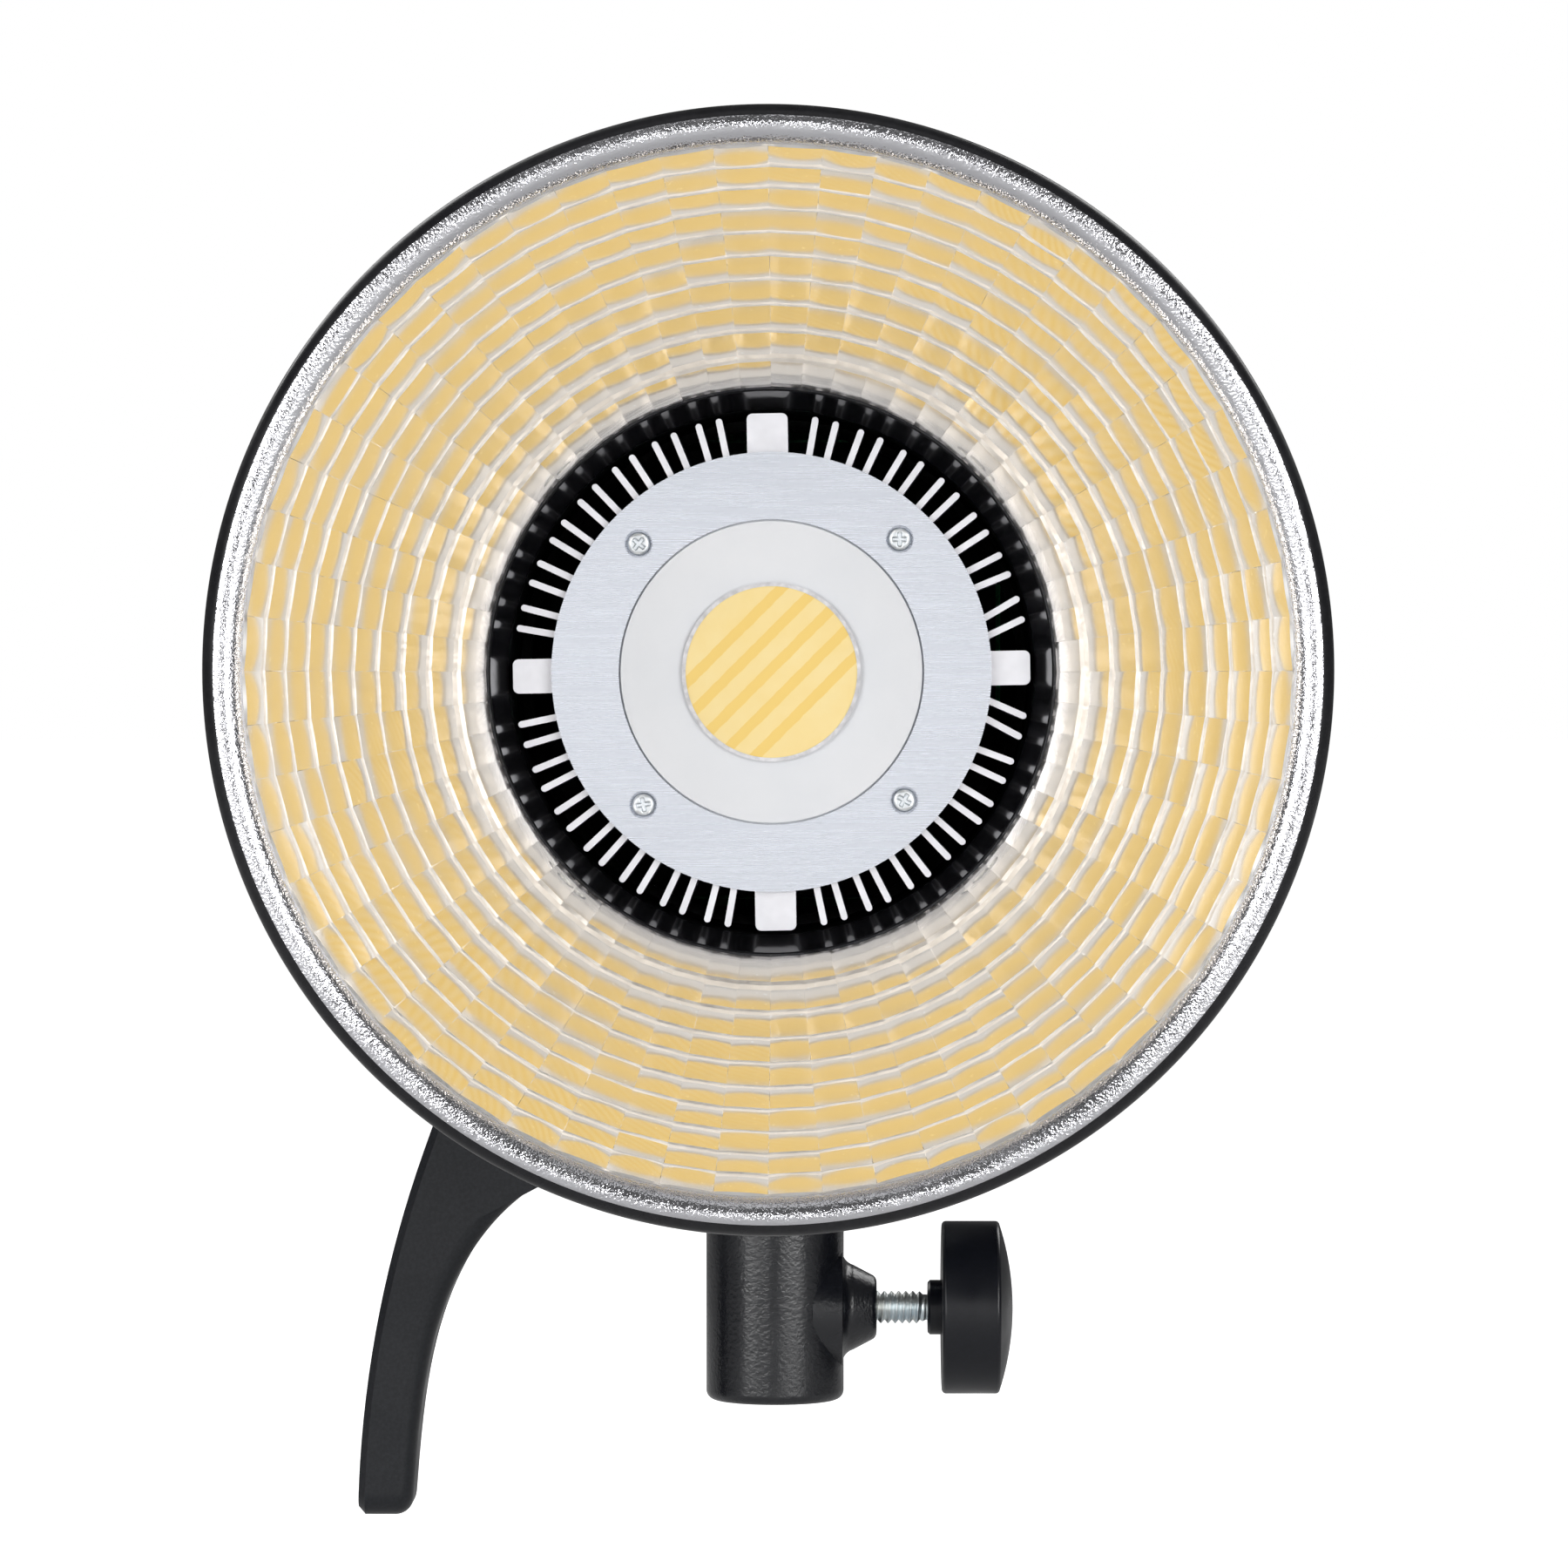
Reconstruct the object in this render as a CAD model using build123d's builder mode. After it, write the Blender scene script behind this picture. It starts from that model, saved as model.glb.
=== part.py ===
"""Continuous LED studio light head with a twist-on faceted reflector.

Millimetres, +Z up. The origin is the centre of the stand socket's mouth, the socket's axis is Z,
the light shines along -Y and the tilt handle is on the -X side. Lengths along the optical axis are
"forward" distances, measured from the stand axis towards the front, so forward = -Y.
"""

import os
from math import cos, pi, radians, sin, sqrt

from build123d import *

os.makedirs("parts", exist_ok=True)

# ---------------------------------------------------------------- driving dimensions
HEAD_Z = 154.2  # optical axis above the socket mouth
PIVOT_Z = 62.0  # tilt pivot above the socket mouth
GAP = 0.3  # between pieces of different moving bodies
RUNNING = 0.06  # radial clearance of a running fit

# reflector
RIM_R = 105.0
RIM_F = 178.0
BEAD_R = 3.7  # rolled edge of the bowl
BOWL_R = 99.0  # where the parabola runs into the rolled edge
THROAT_R = 55.5
FOCAL = 24.0  # focal length of the parabola
LED_F = 96.0  # plane of the light-emitting surface, at the focus
SHEET = 1.4

# bayonet
RING_R = 76.0
RING_BACK_F = 95.0
RING_FRONT_F = 107.0
GROOVE_BACK_F = 99.5
GROOVE_FRONT_F = 104.0
LIP_R = 64.1
GROOVE_R = 70.6
GATE_R = 70.45
LUG_IN_R = 63.7
LUG_OUT_R = 70.2
LUG_COUNT = 3
LUG_ANGLE = 22.0
FIRST_LUG = 30.0  # centre of the first lug, anticlockwise from +X seen from the front
TWIST = 18.0  # turn from locked to free
LOCK_R = 67.0  # the lock pin's distance from the optical axis
LOCK_PIN_R = 2.0
LOCK_TRAVEL = 4.5
RING_SCREW_R = 73.3
FLANGE_R = 61.9  # neck flange of the bowl
RIVET_R = 60.2

# LED module
SINK_R = 51.2
SINK_CORE_R = 24.0
SINK_DISC_R = 39.5
SINK_BACK_F = 36.0
SINK_FRONT_F = 93.0
FIN = 1.3
PAIR_PITCH = 10.6  # degrees between forked fin pairs
FORK = 4.7  # degrees between the two fins of a pair
PAIRS = 7  # in each quadrant
MODULE_TURN = 1.0  # the module sits one degree round from upright
LEAN = 2.3  # degrees by which the fins beside the right-hand lug lean away from it
PLATE_R = 43.5
PLATE_T = 2.4
PLATE_SCREW = 25.8  # half the side of the screw square
DISC_R = 29.8
EMITTER_R = 16.95

# casing
CASE = 124.0  # square section, width and height
CASE_CORNER = 30.0
WALL = 2.5
CASE_BACK_F = -84.0
CASE_FRONT_F = 80.0
PANEL_BACK_F = -92.0
BOSS = 48.5  # screw bosses in the casing's corners
BOSS_R = 5.0

# fan
FAN = 92.0
FAN_BACK_F = 5.0
FAN_FRONT_F = 30.0
FAN_BORE_R = 44.5
FAN_HUB_R = 18.0
FAN_SCREW = 41.0
BLADES = 7

# stand bracket
SOCKET_R = 14.6
SOCKET_BORE_R = 8.25
SOCKET_DEPTH = 38.0
BARREL_R = 14.0
BARREL_HALF = 20.6
EAR_IN = 22.0
EAR_OUT = 30.0
EAR_R = 14.5
BOLT_R = 4.0
FOOT_T = 6.0

# stand clamp
CLAMP_Z = 19.5
BOSS_FACE_X = 21.6
SCREW_R = 3.45
SCREW_PITCH = 1.5
SCREW_TIP_X = 8.9
COLLAR_X = 32.4
KNOB_X = 35.4
KNOB_R = 18.3
KNOB_SIDE_X = 47.7
KNOB_END_X = 50.5

# tilt handle
HANDLE_HUB_R = 14.0
HANDLE_IN_X = -31.2
HANDLE_OUT_X = -88.2  # outer face at the lever's lower end
HANDLE_LOW_Z = -24.0
HANDLE_T = 11.4
HANDLE_LOW_WIDTH = 19.2
HANDLE_CORNER_R = 5.0
HANDLE_CHAMFER = 1.6  # along the outer edges
HANDLE_ROUND = 3.8  # along the inner edges

# rear panel controls, as (x, z from the optical axis)
DISPLAY = (0.0, 31.0)
DISPLAY_SIZE = (62.0, 28.0)
DIAL = (-31.0, -7.0)
BUTTONS = ((-4.0, -7.0), (15.0, -7.0), (34.0, -7.0))
BUTTON_SIZE = (12.0, 8.0)
BUTTON_TRAVEL = 1.0
INLET = (18.0, -37.0)
INLET_SCREWS = [(INLET[0] + offset, INLET[1]) for offset in (-20, 20)]
INLET_PINS = ((-7, -1.5), (7, -1.5), (0, 3.0))
SWITCH = (-31.0, -37.0)
SWITCH_THROW = 20.0
SWITCH_PIVOT_F = PANEL_BACK_F + 1.0
PLATE_IN_F = PANEL_BACK_F + 3  # inner face of the rear panel

# power board, as heights from the optical axis
BOARD_Z = -50.0
BOARD_Y = 46.0
BOARD_T = 1.6

# ---------------------------------------------------------------- shared geometry
SECTION = Plane(origin=(0, 0, HEAD_Z), x_dir=(0, -1, 0), z_dir=(-1, 0, 0))  # (forward, radius)
OPTICAL = Axis((0, 0, HEAD_Z), (0, -1, 0))
CLAMP_SECTION = Plane(origin=(0, 0, CLAMP_Z), x_dir=(1, 0, 0), z_dir=(0, -1, 0))  # (x, radius)
CLAMP = Axis((0, 0, CLAMP_Z), (1, 0, 0))
PIVOT_SECTION = Plane(origin=(0, 0, PIVOT_Z), x_dir=(1, 0, 0), z_dir=(0, -1, 0))  # (x, radius)
PIVOT = Axis((0, 0, PIVOT_Z), (1, 0, 0))
CORNERS = [(x, z) for x in (-1, 1) for z in (-1, 1)]
BOSS_PLACES = [(x * BOSS, z * BOSS) for x, z in CORNERS]
FAN_PLACES = [(x * FAN_SCREW, z * FAN_SCREW) for x, z in CORNERS]
FOOT_HOLES = [(x * 14, y * 22) for x, y in CORNERS]
BOARD_HOLES = [(x * 28, y * 24) for x, y in CORNERS]


def across(forward, x=0.0, z=0.0):
    """Plane square to the optical axis, facing the front, with x to +X and y to +Z."""
    return Plane(origin=(x, -forward, HEAD_Z + z), x_dir=(1, 0, 0), z_dir=(0, -1, 0))


def sideways(x, forward=0.0, z=0.0):
    """Plane square to X, facing +X, with x towards the back and y to +Z."""
    return Plane(origin=(x, -forward, z), x_dir=(0, 1, 0), z_dir=(1, 0, 0))


def turned(points, plane=SECTION, axis=OPTICAL, mode=Mode.ADD):
    """Revolve a closed outline of (along the axis, radius) points."""
    with BuildSketch(plane) as outline:
        with BuildLine():
            Polyline(*points, close=True)
        make_face()
    revolve(outline.sketch, axis=axis, mode=mode)


def turned_ring(back, front, r_in, r_out, mode=Mode.ADD, plane=SECTION, axis=OPTICAL):
    turned([(back, r_in), (front, r_in), (front, r_out), (back, r_out)], plane, axis, mode)


def sector(back, front, r_in, r_out, centre, width, mode=Mode.ADD):
    """A stretch of a ring about the optical axis, centred on an angle."""
    low, high = radians(centre - width / 2), radians(centre + width / 2)
    reach = 1.3 * r_out
    with BuildSketch(across(back)) as piece:
        with BuildLine():
            Polyline(
                (0, 0),
                (reach * cos(low), reach * sin(low)),
                (reach * cos(high), reach * sin(high)),
                close=True,
            )
        make_face()
        Circle(r_out, mode=Mode.INTERSECT)
        Circle(r_in, mode=Mode.SUBTRACT)
    extrude(piece.sketch, amount=front - back, mode=mode)


def pegs(back, front, radius, places, mode=Mode.ADD, inner=0.0):
    """Round pegs or holes along the optical axis, at (x, z) places."""
    with BuildSketch(across(back)) as piece:
        with Locations(*places):
            Circle(radius)
            if inner:
                Circle(inner, mode=Mode.SUBTRACT)
    extrude(piece.sketch, amount=front - back, mode=mode)


def block(back, front, width, height, x=0.0, z=0.0, corner=0.0, mode=Mode.ADD):
    """A rectangular block along the optical axis, centred on (x, z)."""
    with BuildSketch(across(back, x, z)) as piece:
        if corner:
            RectangleRounded(width, height, corner)
        else:
            Rectangle(width, height)
    extrude(piece.sketch, amount=front - back, mode=mode)


def on_circle(radius, count, first=0.0):
    """Evenly spaced (x, z) places on a circle about the optical axis."""
    angles = [radians(first + k * 360 / count) for k in range(count)]
    return [(radius * cos(a), radius * sin(a)) for a in angles]


def in_module(x, z):
    """A place on the LED module, turned with it."""
    turn = radians(MODULE_TURN)
    return x * cos(turn) - z * sin(turn), x * sin(turn) + z * cos(turn)


def machine_screw(tip, seat, shank_r, head_r, head_h, places):
    """Cap screws whose heads face the front; a negative head height faces them to the back."""
    pegs(min(tip, seat), max(tip, seat), shank_r, places)
    pegs(min(seat, seat + head_h), max(seat, seat + head_h), head_r, places)
    slot = 0.55 * head_h
    low, high = sorted((seat + head_h - slot, seat + head_h))
    for place in places:
        for size in ((1.5 * head_r, 0.22 * head_r), (0.22 * head_r, 1.5 * head_r)):
            block(low, high, *size, *place, mode=Mode.SUBTRACT)


# ---------------------------------------------------------------- stand bracket and clamp
def make_bracket():
    """Cast socket for the stand's spigot, with the tilt barrel on top and the clamp boss."""
    with BuildPart() as bracket:
        with BuildSketch():
            Circle(SOCKET_R)
        extrude(amount=PIVOT_Z - 2)
        fillet(bracket.edges().group_by(Axis.Z)[0], 2.0)
        turned_ring(-BARREL_HALF, BARREL_HALF, 0, BARREL_R, plane=PIVOT_SECTION, axis=PIVOT)
        with BuildSketch(CLAMP_SECTION):
            with BuildLine():
                Polyline((8, 0), (8, 12.4), (14.3, 12.4))
                RadiusArc((14.3, 12.4), (16.6, 9.0), -3.2)
                Line((16.6, 9.0), (20.6, 6.9))
                ThreePointArc((20.6, 6.9), (21.3, 6.3), (BOSS_FACE_X, 5.4))
                Polyline((BOSS_FACE_X, 5.4), (BOSS_FACE_X, 0), (8, 0))
            make_face()
        revolve(axis=CLAMP)
        with BuildSketch():
            Circle(SOCKET_BORE_R)
        extrude(amount=SOCKET_DEPTH, mode=Mode.SUBTRACT)
        turned_ring(0, BOSS_FACE_X + 1, 0, SCREW_R + 0.1, Mode.SUBTRACT, CLAMP_SECTION, CLAMP)
        reach = BARREL_HALF + 1
        turned_ring(-reach, reach, 0, BOLT_R + RUNNING, Mode.SUBTRACT, PIVOT_SECTION, PIVOT)
    bracket.part.label = "bracket"
    return bracket.part


def make_friction_washers():
    """Two fibre washers between the barrel and the ears."""
    with BuildPart() as washers:
        for side in (-1, 1):
            faces = sorted((side * (BARREL_HALF + 0.1), side * (EAR_IN - 0.2)))
            turned_ring(*faces, BOLT_R + RUNNING, BARREL_R - 1, Mode.ADD, PIVOT_SECTION, PIVOT)
    washers.part.label = "friction_washers"
    return washers.part


def make_pivot_bolt():
    """The tilt bolt: a socket-head screw through both ears, the barrel and the handle."""
    head_x = EAR_OUT + 0.4
    with BuildPart() as bolt:
        turned_ring(-56, head_x, 0, BOLT_R, plane=PIVOT_SECTION, axis=PIVOT)
        turned_ring(head_x, head_x + 7, 0, 6.5, plane=PIVOT_SECTION, axis=PIVOT)
        chamfer(bolt.faces().sort_by(Axis.X)[-1].edges(), 0.6)
        with BuildSketch(sideways(head_x + 7, z=PIVOT_Z)):
            RegularPolygon(3.4, 6)
        extrude(amount=-4, mode=Mode.SUBTRACT)
    bolt.part.label = "pivot_bolt"
    return bolt.part


def lever_edges(part, outer):
    """The long edges of the handle's lever, on its outer or its inner side."""
    chosen = []
    for edge in part.edges():
        low, high = sorted((edge.position_at(0), edge.position_at(1)), key=lambda end: end.Z)
        long = low.Z < HANDLE_LOW_Z + HANDLE_CORNER_R + 1 and high.Z > 40
        if long and outer == (low.X < HANDLE_OUT_X + HANDLE_T / 2):
            chosen.append(edge)
    return chosen


def make_handle():
    """Curved lever that hangs from a hub on the pivot bolt and locks the tilt."""
    inner_x = HANDLE_OUT_X + HANDLE_T
    with BuildPart() as handle:
        with BuildSketch(Plane.XZ.offset(-HANDLE_HUB_R)):
            with BuildLine():
                Spline((-74.1, 53.1), (-84.1, 16.1), (HANDLE_OUT_X, HANDLE_LOW_Z))
                Line((HANDLE_OUT_X, HANDLE_LOW_Z), (inner_x, HANDLE_LOW_Z))
                Spline((inner_x, HANDLE_LOW_Z), (-74.4, 1.3), (-68.5, 23.5), (-59.3, 38.3), (-52.4, 44.6))
                Polyline((-52.4, 44.6), (-46, 48), (HANDLE_IN_X, 48), (HANDLE_IN_X, 76))
                Polyline((HANDLE_IN_X, 76), (-64, 76), (-70, 64.5), (-74.1, 53.1))
            make_face()
        extrude(amount=2 * HANDLE_HUB_R)
        with BuildSketch(Plane.YZ.offset(-95)) as side:
            with Locations((0, PIVOT_Z)):
                Circle(HANDLE_HUB_R)
            with BuildLine():
                low = HANDLE_LOW_WIDTH / 2
                Polyline((-HANDLE_HUB_R, PIVOT_Z), (-low, HANDLE_LOW_Z), (low, HANDLE_LOW_Z),
                         (HANDLE_HUB_R, PIVOT_Z), close=True)
            make_face()
        extrude(side.sketch, amount=80, mode=Mode.INTERSECT)
        fillet(handle.edges().filter_by(Axis.X).group_by(Axis.Z)[0], HANDLE_CORNER_R)
        chamfer(lever_edges(handle.part, True), HANDLE_CHAMFER)
        fillet(lever_edges(handle.part, False), HANDLE_ROUND)
        turned_ring(-57, -30, 0, 6.0, Mode.SUBTRACT, PIVOT_SECTION, PIVOT)
    handle.part.label = "tilt_handle"
    return handle.part


def make_handle_insert():
    """Steel bush pressed in the handle's hub, which runs on the bolt."""
    with BuildPart() as insert:
        turned_ring(-56.8, HANDLE_IN_X + 0.6, BOLT_R + RUNNING, 6.0, Mode.ADD, PIVOT_SECTION, PIVOT)
    insert.part.label = "handle_insert"
    return insert.part


def make_clamp_screw():
    """Threaded rod of the stand clamp, its thread as rings."""
    root = SCREW_R - 0.8
    crests = int((COLLAR_X - SCREW_TIP_X - 2) / SCREW_PITCH)
    outline = [(SCREW_TIP_X, 0), (SCREW_TIP_X, root - 0.4), (SCREW_TIP_X + 0.6, root)]
    for k in range(crests):
        start = SCREW_TIP_X + 0.8 + k * SCREW_PITCH
        outline += [(start + 0.65, SCREW_R), (start + 0.85, SCREW_R), (start + SCREW_PITCH, root)]
    last = outline[-1][0]
    outline += [(last + 0.3, root), (last + 0.8, SCREW_R), (KNOB_END_X - 5, SCREW_R), (KNOB_END_X - 5, 0)]
    with BuildPart() as screw:
        turned(outline, CLAMP_SECTION, CLAMP)
    screw.part.label = "clamp_screw"
    return screw.part


def make_clamp_knob():
    """Round moulded knob with a shallow domed face."""
    with BuildPart() as knob:
        with BuildSketch(CLAMP_SECTION):
            with BuildLine():
                Polyline((KNOB_X, 0), (KNOB_X, KNOB_R - 0.9))
                RadiusArc((KNOB_X, KNOB_R - 0.9), (KNOB_X + 0.9, KNOB_R), 0.9)
                Line((KNOB_X + 0.9, KNOB_R), (KNOB_SIDE_X - 0.8, KNOB_R))
                RadiusArc((KNOB_SIDE_X - 0.8, KNOB_R), (KNOB_SIDE_X, KNOB_R - 0.7), 0.9)
                sagitta = KNOB_END_X - KNOB_SIDE_X
                dome = ((KNOB_R - 0.7) ** 2 + sagitta**2) / (2 * sagitta)
                RadiusArc((KNOB_SIDE_X, KNOB_R - 0.7), (KNOB_END_X, 0), dome)
                Line((KNOB_END_X, 0), (KNOB_X, 0))
            make_face()
        revolve(axis=CLAMP)
        turned_ring(KNOB_X - 1, KNOB_END_X - 4.5, 0, 5.0, Mode.SUBTRACT, CLAMP_SECTION, CLAMP)
    knob.part.label = "clamp_knob"
    return knob.part


def make_knob_insert():
    """Collar moulded into the knob, which carries the threaded rod."""
    with BuildPart() as insert:
        turned_ring(COLLAR_X, KNOB_X - 0.02, SCREW_R + RUNNING, 5.8, Mode.ADD, CLAMP_SECTION, CLAMP)
        chamfer(insert.faces().sort_by(Axis.X)[0].edges().sort_by(SortBy.LENGTH)[-1], 0.5)
        turned_ring(KNOB_X - 0.5, KNOB_END_X - 4.6, SCREW_R + RUNNING, 4.98, Mode.ADD, CLAMP_SECTION, CLAMP)
    insert.part.label = "knob_insert"
    return insert.part


# ---------------------------------------------------------------- reflector
def bowl_point(radius):
    """Point of the inner parabola, as (forward, radius)."""
    return LED_F - FOCAL + radius**2 / (4 * FOCAL), radius


def parabola(shift):
    """End and control points of the parabola between throat and rolled edge, moved outwards."""
    slopes = [r / (2 * FOCAL) for r in (THROAT_R, BOWL_R)]
    normals = [(-1 / sqrt(1 + m * m), m / sqrt(1 + m * m)) for m in slopes]
    (f0, r0), (f2, r2) = bowl_point(THROAT_R), bowl_point(BOWL_R)
    f1 = LED_F - FOCAL + THROAT_R * BOWL_R / (4 * FOCAL)
    r1 = (THROAT_R + BOWL_R) / 2
    (a0, b0), (a2, b2) = normals
    spread = 1 + a0 * a2 + b0 * b2
    middle = (f1 + shift * (a0 + a2) / spread, r1 + shift * (b0 + b2) / spread)
    return (f0 + shift * a0, r0 + shift * b0), middle, (f2 + shift * a2, r2 + shift * b2)


def make_reflector():
    """Spun aluminium bowl: a parabola with a rolled edge and a flat neck flange."""
    inner = parabola(0)
    outer = parabola(SHEET)
    bead = (RIM_F - BEAD_R, RIM_R - BEAD_R)
    with BuildPart() as bowl:
        with BuildSketch(SECTION) as wall:
            with BuildLine():
                Bezier(*inner)
                Line(inner[2], outer[2])
                Bezier(*outer)
                Line(outer[0], inner[0])
            make_face()
            with Locations(bead):
                Circle(BEAD_R)
                Circle(BEAD_R - SHEET, mode=Mode.SUBTRACT)
            with Locations((bead[0] - BEAD_R, bead[1] + 0.4)):
                Rectangle(BEAD_R + 1, 1.2, mode=Mode.SUBTRACT)
            with Locations(((102.9 + 104.0) / 2, (THROAT_R + FLANGE_R) / 2)):
                Rectangle(1.1, FLANGE_R - THROAT_R)
        revolve(wall.sketch, axis=OPTICAL)
        pegs(102, 105, 1.5, on_circle(RIVET_R, 6), Mode.SUBTRACT)
    bowl.part.label = "reflector_bowl"
    return bowl.part


def make_collar():
    """Bayonet collar of the reflector, with three lugs and the lock pin's slot."""
    with BuildPart() as collar:
        turned_ring(99.8, 102.9, 57.0, LUG_IN_R)
        turned_ring(99.8, 109.6, 62.3, LUG_IN_R)
        turned_ring(RING_FRONT_F + GAP, 109.6, 62.3, RING_R)
        for k in range(LUG_COUNT):
            sector(100, 103.6, 63, LUG_OUT_R, FIRST_LUG + k * 360 / LUG_COUNT, LUG_ANGLE)
        slot_half = LOCK_PIN_R + 0.3
        sector(107, 110, LOCK_R - slot_half, LOCK_R + slot_half, 90 - TWIST / 2, TWIST, Mode.SUBTRACT)
        ends = [radians(90), radians(90 - TWIST)]
        pegs(107, 110, slot_half, [(LOCK_R * cos(a), LOCK_R * sin(a)) for a in ends], Mode.SUBTRACT)
        pegs(99, 103.5, 1.5, on_circle(RIVET_R, 6), Mode.SUBTRACT)
    collar.part.label = "bayonet_collar"
    return collar.part


def make_collar_rivets():
    """Six rivets that hold the bowl's flange to the collar."""
    with BuildPart() as rivets:
        pegs(100.0, 104.0, 1.5, on_circle(RIVET_R, 6))
        pegs(104.0, 104.7, 1.9, on_circle(RIVET_R, 6))
    rivets.part.label = "collar_rivets"
    return rivets.part


# ---------------------------------------------------------------- bayonet mount of the head
def make_mount_ring():
    """Fixed bayonet ring: a retaining lip with three gates, and the groove behind it."""
    with BuildPart() as ring:
        turned_ring(RING_BACK_F, RING_FRONT_F, LIP_R, RING_R)
        turned_ring(RING_BACK_F, GROOVE_BACK_F, 58.5, RING_R)
        turned_ring(GROOVE_BACK_F, GROOVE_FRONT_F, LIP_R - 1, GROOVE_R, Mode.SUBTRACT)
        for k in range(LUG_COUNT):
            gate = FIRST_LUG + TWIST + k * 360 / LUG_COUNT
            sector(GROOVE_FRONT_F - 1, RING_FRONT_F + 1, 60, GATE_R, gate, LUG_ANGLE + 4, Mode.SUBTRACT)
        pegs(RING_BACK_F - 1, RING_FRONT_F + 1, LOCK_PIN_R + 0.15, [(0, LOCK_R)], Mode.SUBTRACT)
        pegs(RING_BACK_F - 1, RING_FRONT_F + 1, 1.6, on_circle(RING_SCREW_R, 6), Mode.SUBTRACT)
        pegs(RING_FRONT_F - 2.2, RING_FRONT_F + 1, 2.4, on_circle(RING_SCREW_R, 6), Mode.SUBTRACT)
    ring.part.label = "mount_ring"
    return ring.part


def make_mount_screws():
    with BuildPart() as screws:
        machine_screw(88.5, 104.8, 1.5, 2.3, 1.9, on_circle(RING_SCREW_R, 6))
    screws.part.label = "mount_ring_screws"
    return screws.part


def make_front_frame():
    """Round moulded frame between the square casing and the bayonet ring."""
    with BuildPart() as frame:
        turned_ring(CASE_FRONT_F, RING_BACK_F, 56.5, RING_R)
        chamfer(frame.edges().filter_by(GeomType.CIRCLE).group_by(Axis.Y)[-1].sort_by(SortBy.RADIUS)[-1], 1.2)
        block(85.0, RING_BACK_F + 1, 12.6, 20, 0, 71.5, mode=Mode.SUBTRACT)
        pegs(88.0, RING_BACK_F + 1, 1.55, on_circle(RING_SCREW_R, 6), Mode.SUBTRACT)
        pegs(CASE_FRONT_F - 1, RING_BACK_F + 1, 1.7, BOSS_PLACES, Mode.SUBTRACT)
        pegs(91.0, RING_BACK_F + 1, 3.2, BOSS_PLACES, Mode.SUBTRACT)
    frame.part.label = "front_frame"
    return frame.part


def make_frame_screws():
    with BuildPart() as screws:
        machine_screw(68.5, 91.0, 1.5, 3.0, 2.4, BOSS_PLACES)
    screws.part.label = "front_frame_screws"
    return screws.part


def make_release_slider():
    """Sprung slider with the lock pin; its thumb tab stands out of the frame's top."""
    with BuildPart() as slider:
        block(90.2, 94.7, 12.0, 11.5, 0, 68.75)
        block(90.2, 94.7, 10.0, 7.0, 0, 77.5)
        with BuildSketch(sideways(-6.0, 90.2, HEAD_Z + 74.9)):
            with BuildLine():
                Polyline((0, 0), (0, 3.2), (-4.5, 5.6), (-4.5, 0), close=True)
            make_face()
        extrude(amount=12)
        pegs(94.0, 108.9, LOCK_PIN_R, [(0, LOCK_R)])
        pegs(90.0, 92.2, 2.4, [(0, LOCK_R)], Mode.SUBTRACT)
    slider.part.label = "release_slider"
    return slider.part


def make_release_spring():
    """Compression spring behind the slider, as a thin sleeve."""
    with BuildPart() as spring:
        pegs(85.05, 92.1, 2.1, [(0, LOCK_R)], inner=1.6)
    spring.part.label = "release_spring"
    return spring.part


def make_shroud():
    """Gloss black funnel between the bayonet ring and the heatsink."""
    with BuildPart() as shroud:
        turned([(86.3, 52.3), (90, 52.3), (102.5, 55.2), (102.5, 56.4), (86.3, 56.4)])
    shroud.part.label = "throat_shroud"
    return shroud.part


def make_duct():
    """Air duct round the heatsink: the fan's flange, a lip for the heatsink and a front spigot."""
    with BuildPart() as duct:
        block(30.3, 33.0, FAN, FAN, corner=5)
        turned_ring(30.3, 86.1, 50, 53.8)
        turned_ring(CASE_FRONT_F, 86.1, 53, 56.4)
        turned_ring(30, SINK_BACK_F - 0.1, 0, 50.4, Mode.SUBTRACT)
        turned_ring(SINK_BACK_F - 0.1, 87, 0, 52.3, Mode.SUBTRACT)
        pegs(30, 34, 1.95, FAN_PLACES, Mode.SUBTRACT)
    duct.part.label = "air_duct"
    return duct.part


# ---------------------------------------------------------------- LED module
def fin_angles():
    """Angles of the fins: forked pairs in each quadrant, between the four lugs."""
    pitches = [PAIR_PITCH * (k - (PAIRS - 1) / 2) for k in range(PAIRS)]
    pairs = [45 + MODULE_TURN + 90 * quadrant + pitch for quadrant in range(4) for pitch in pitches]
    return [pair + side * FORK / 2 for pair in pairs for side in (-1, 1)]


def polar(radius, angle):
    return radius * cos(radians(angle)), radius * sin(radians(angle))


def round_strip(start, end, width):
    """A strip with round ends between two points, which lie half its width inside the ends."""
    middle = ((start[0] + end[0]) / 2, (start[1] + end[1]) / 2)
    SlotCenterPoint(middle, end, width)


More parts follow.
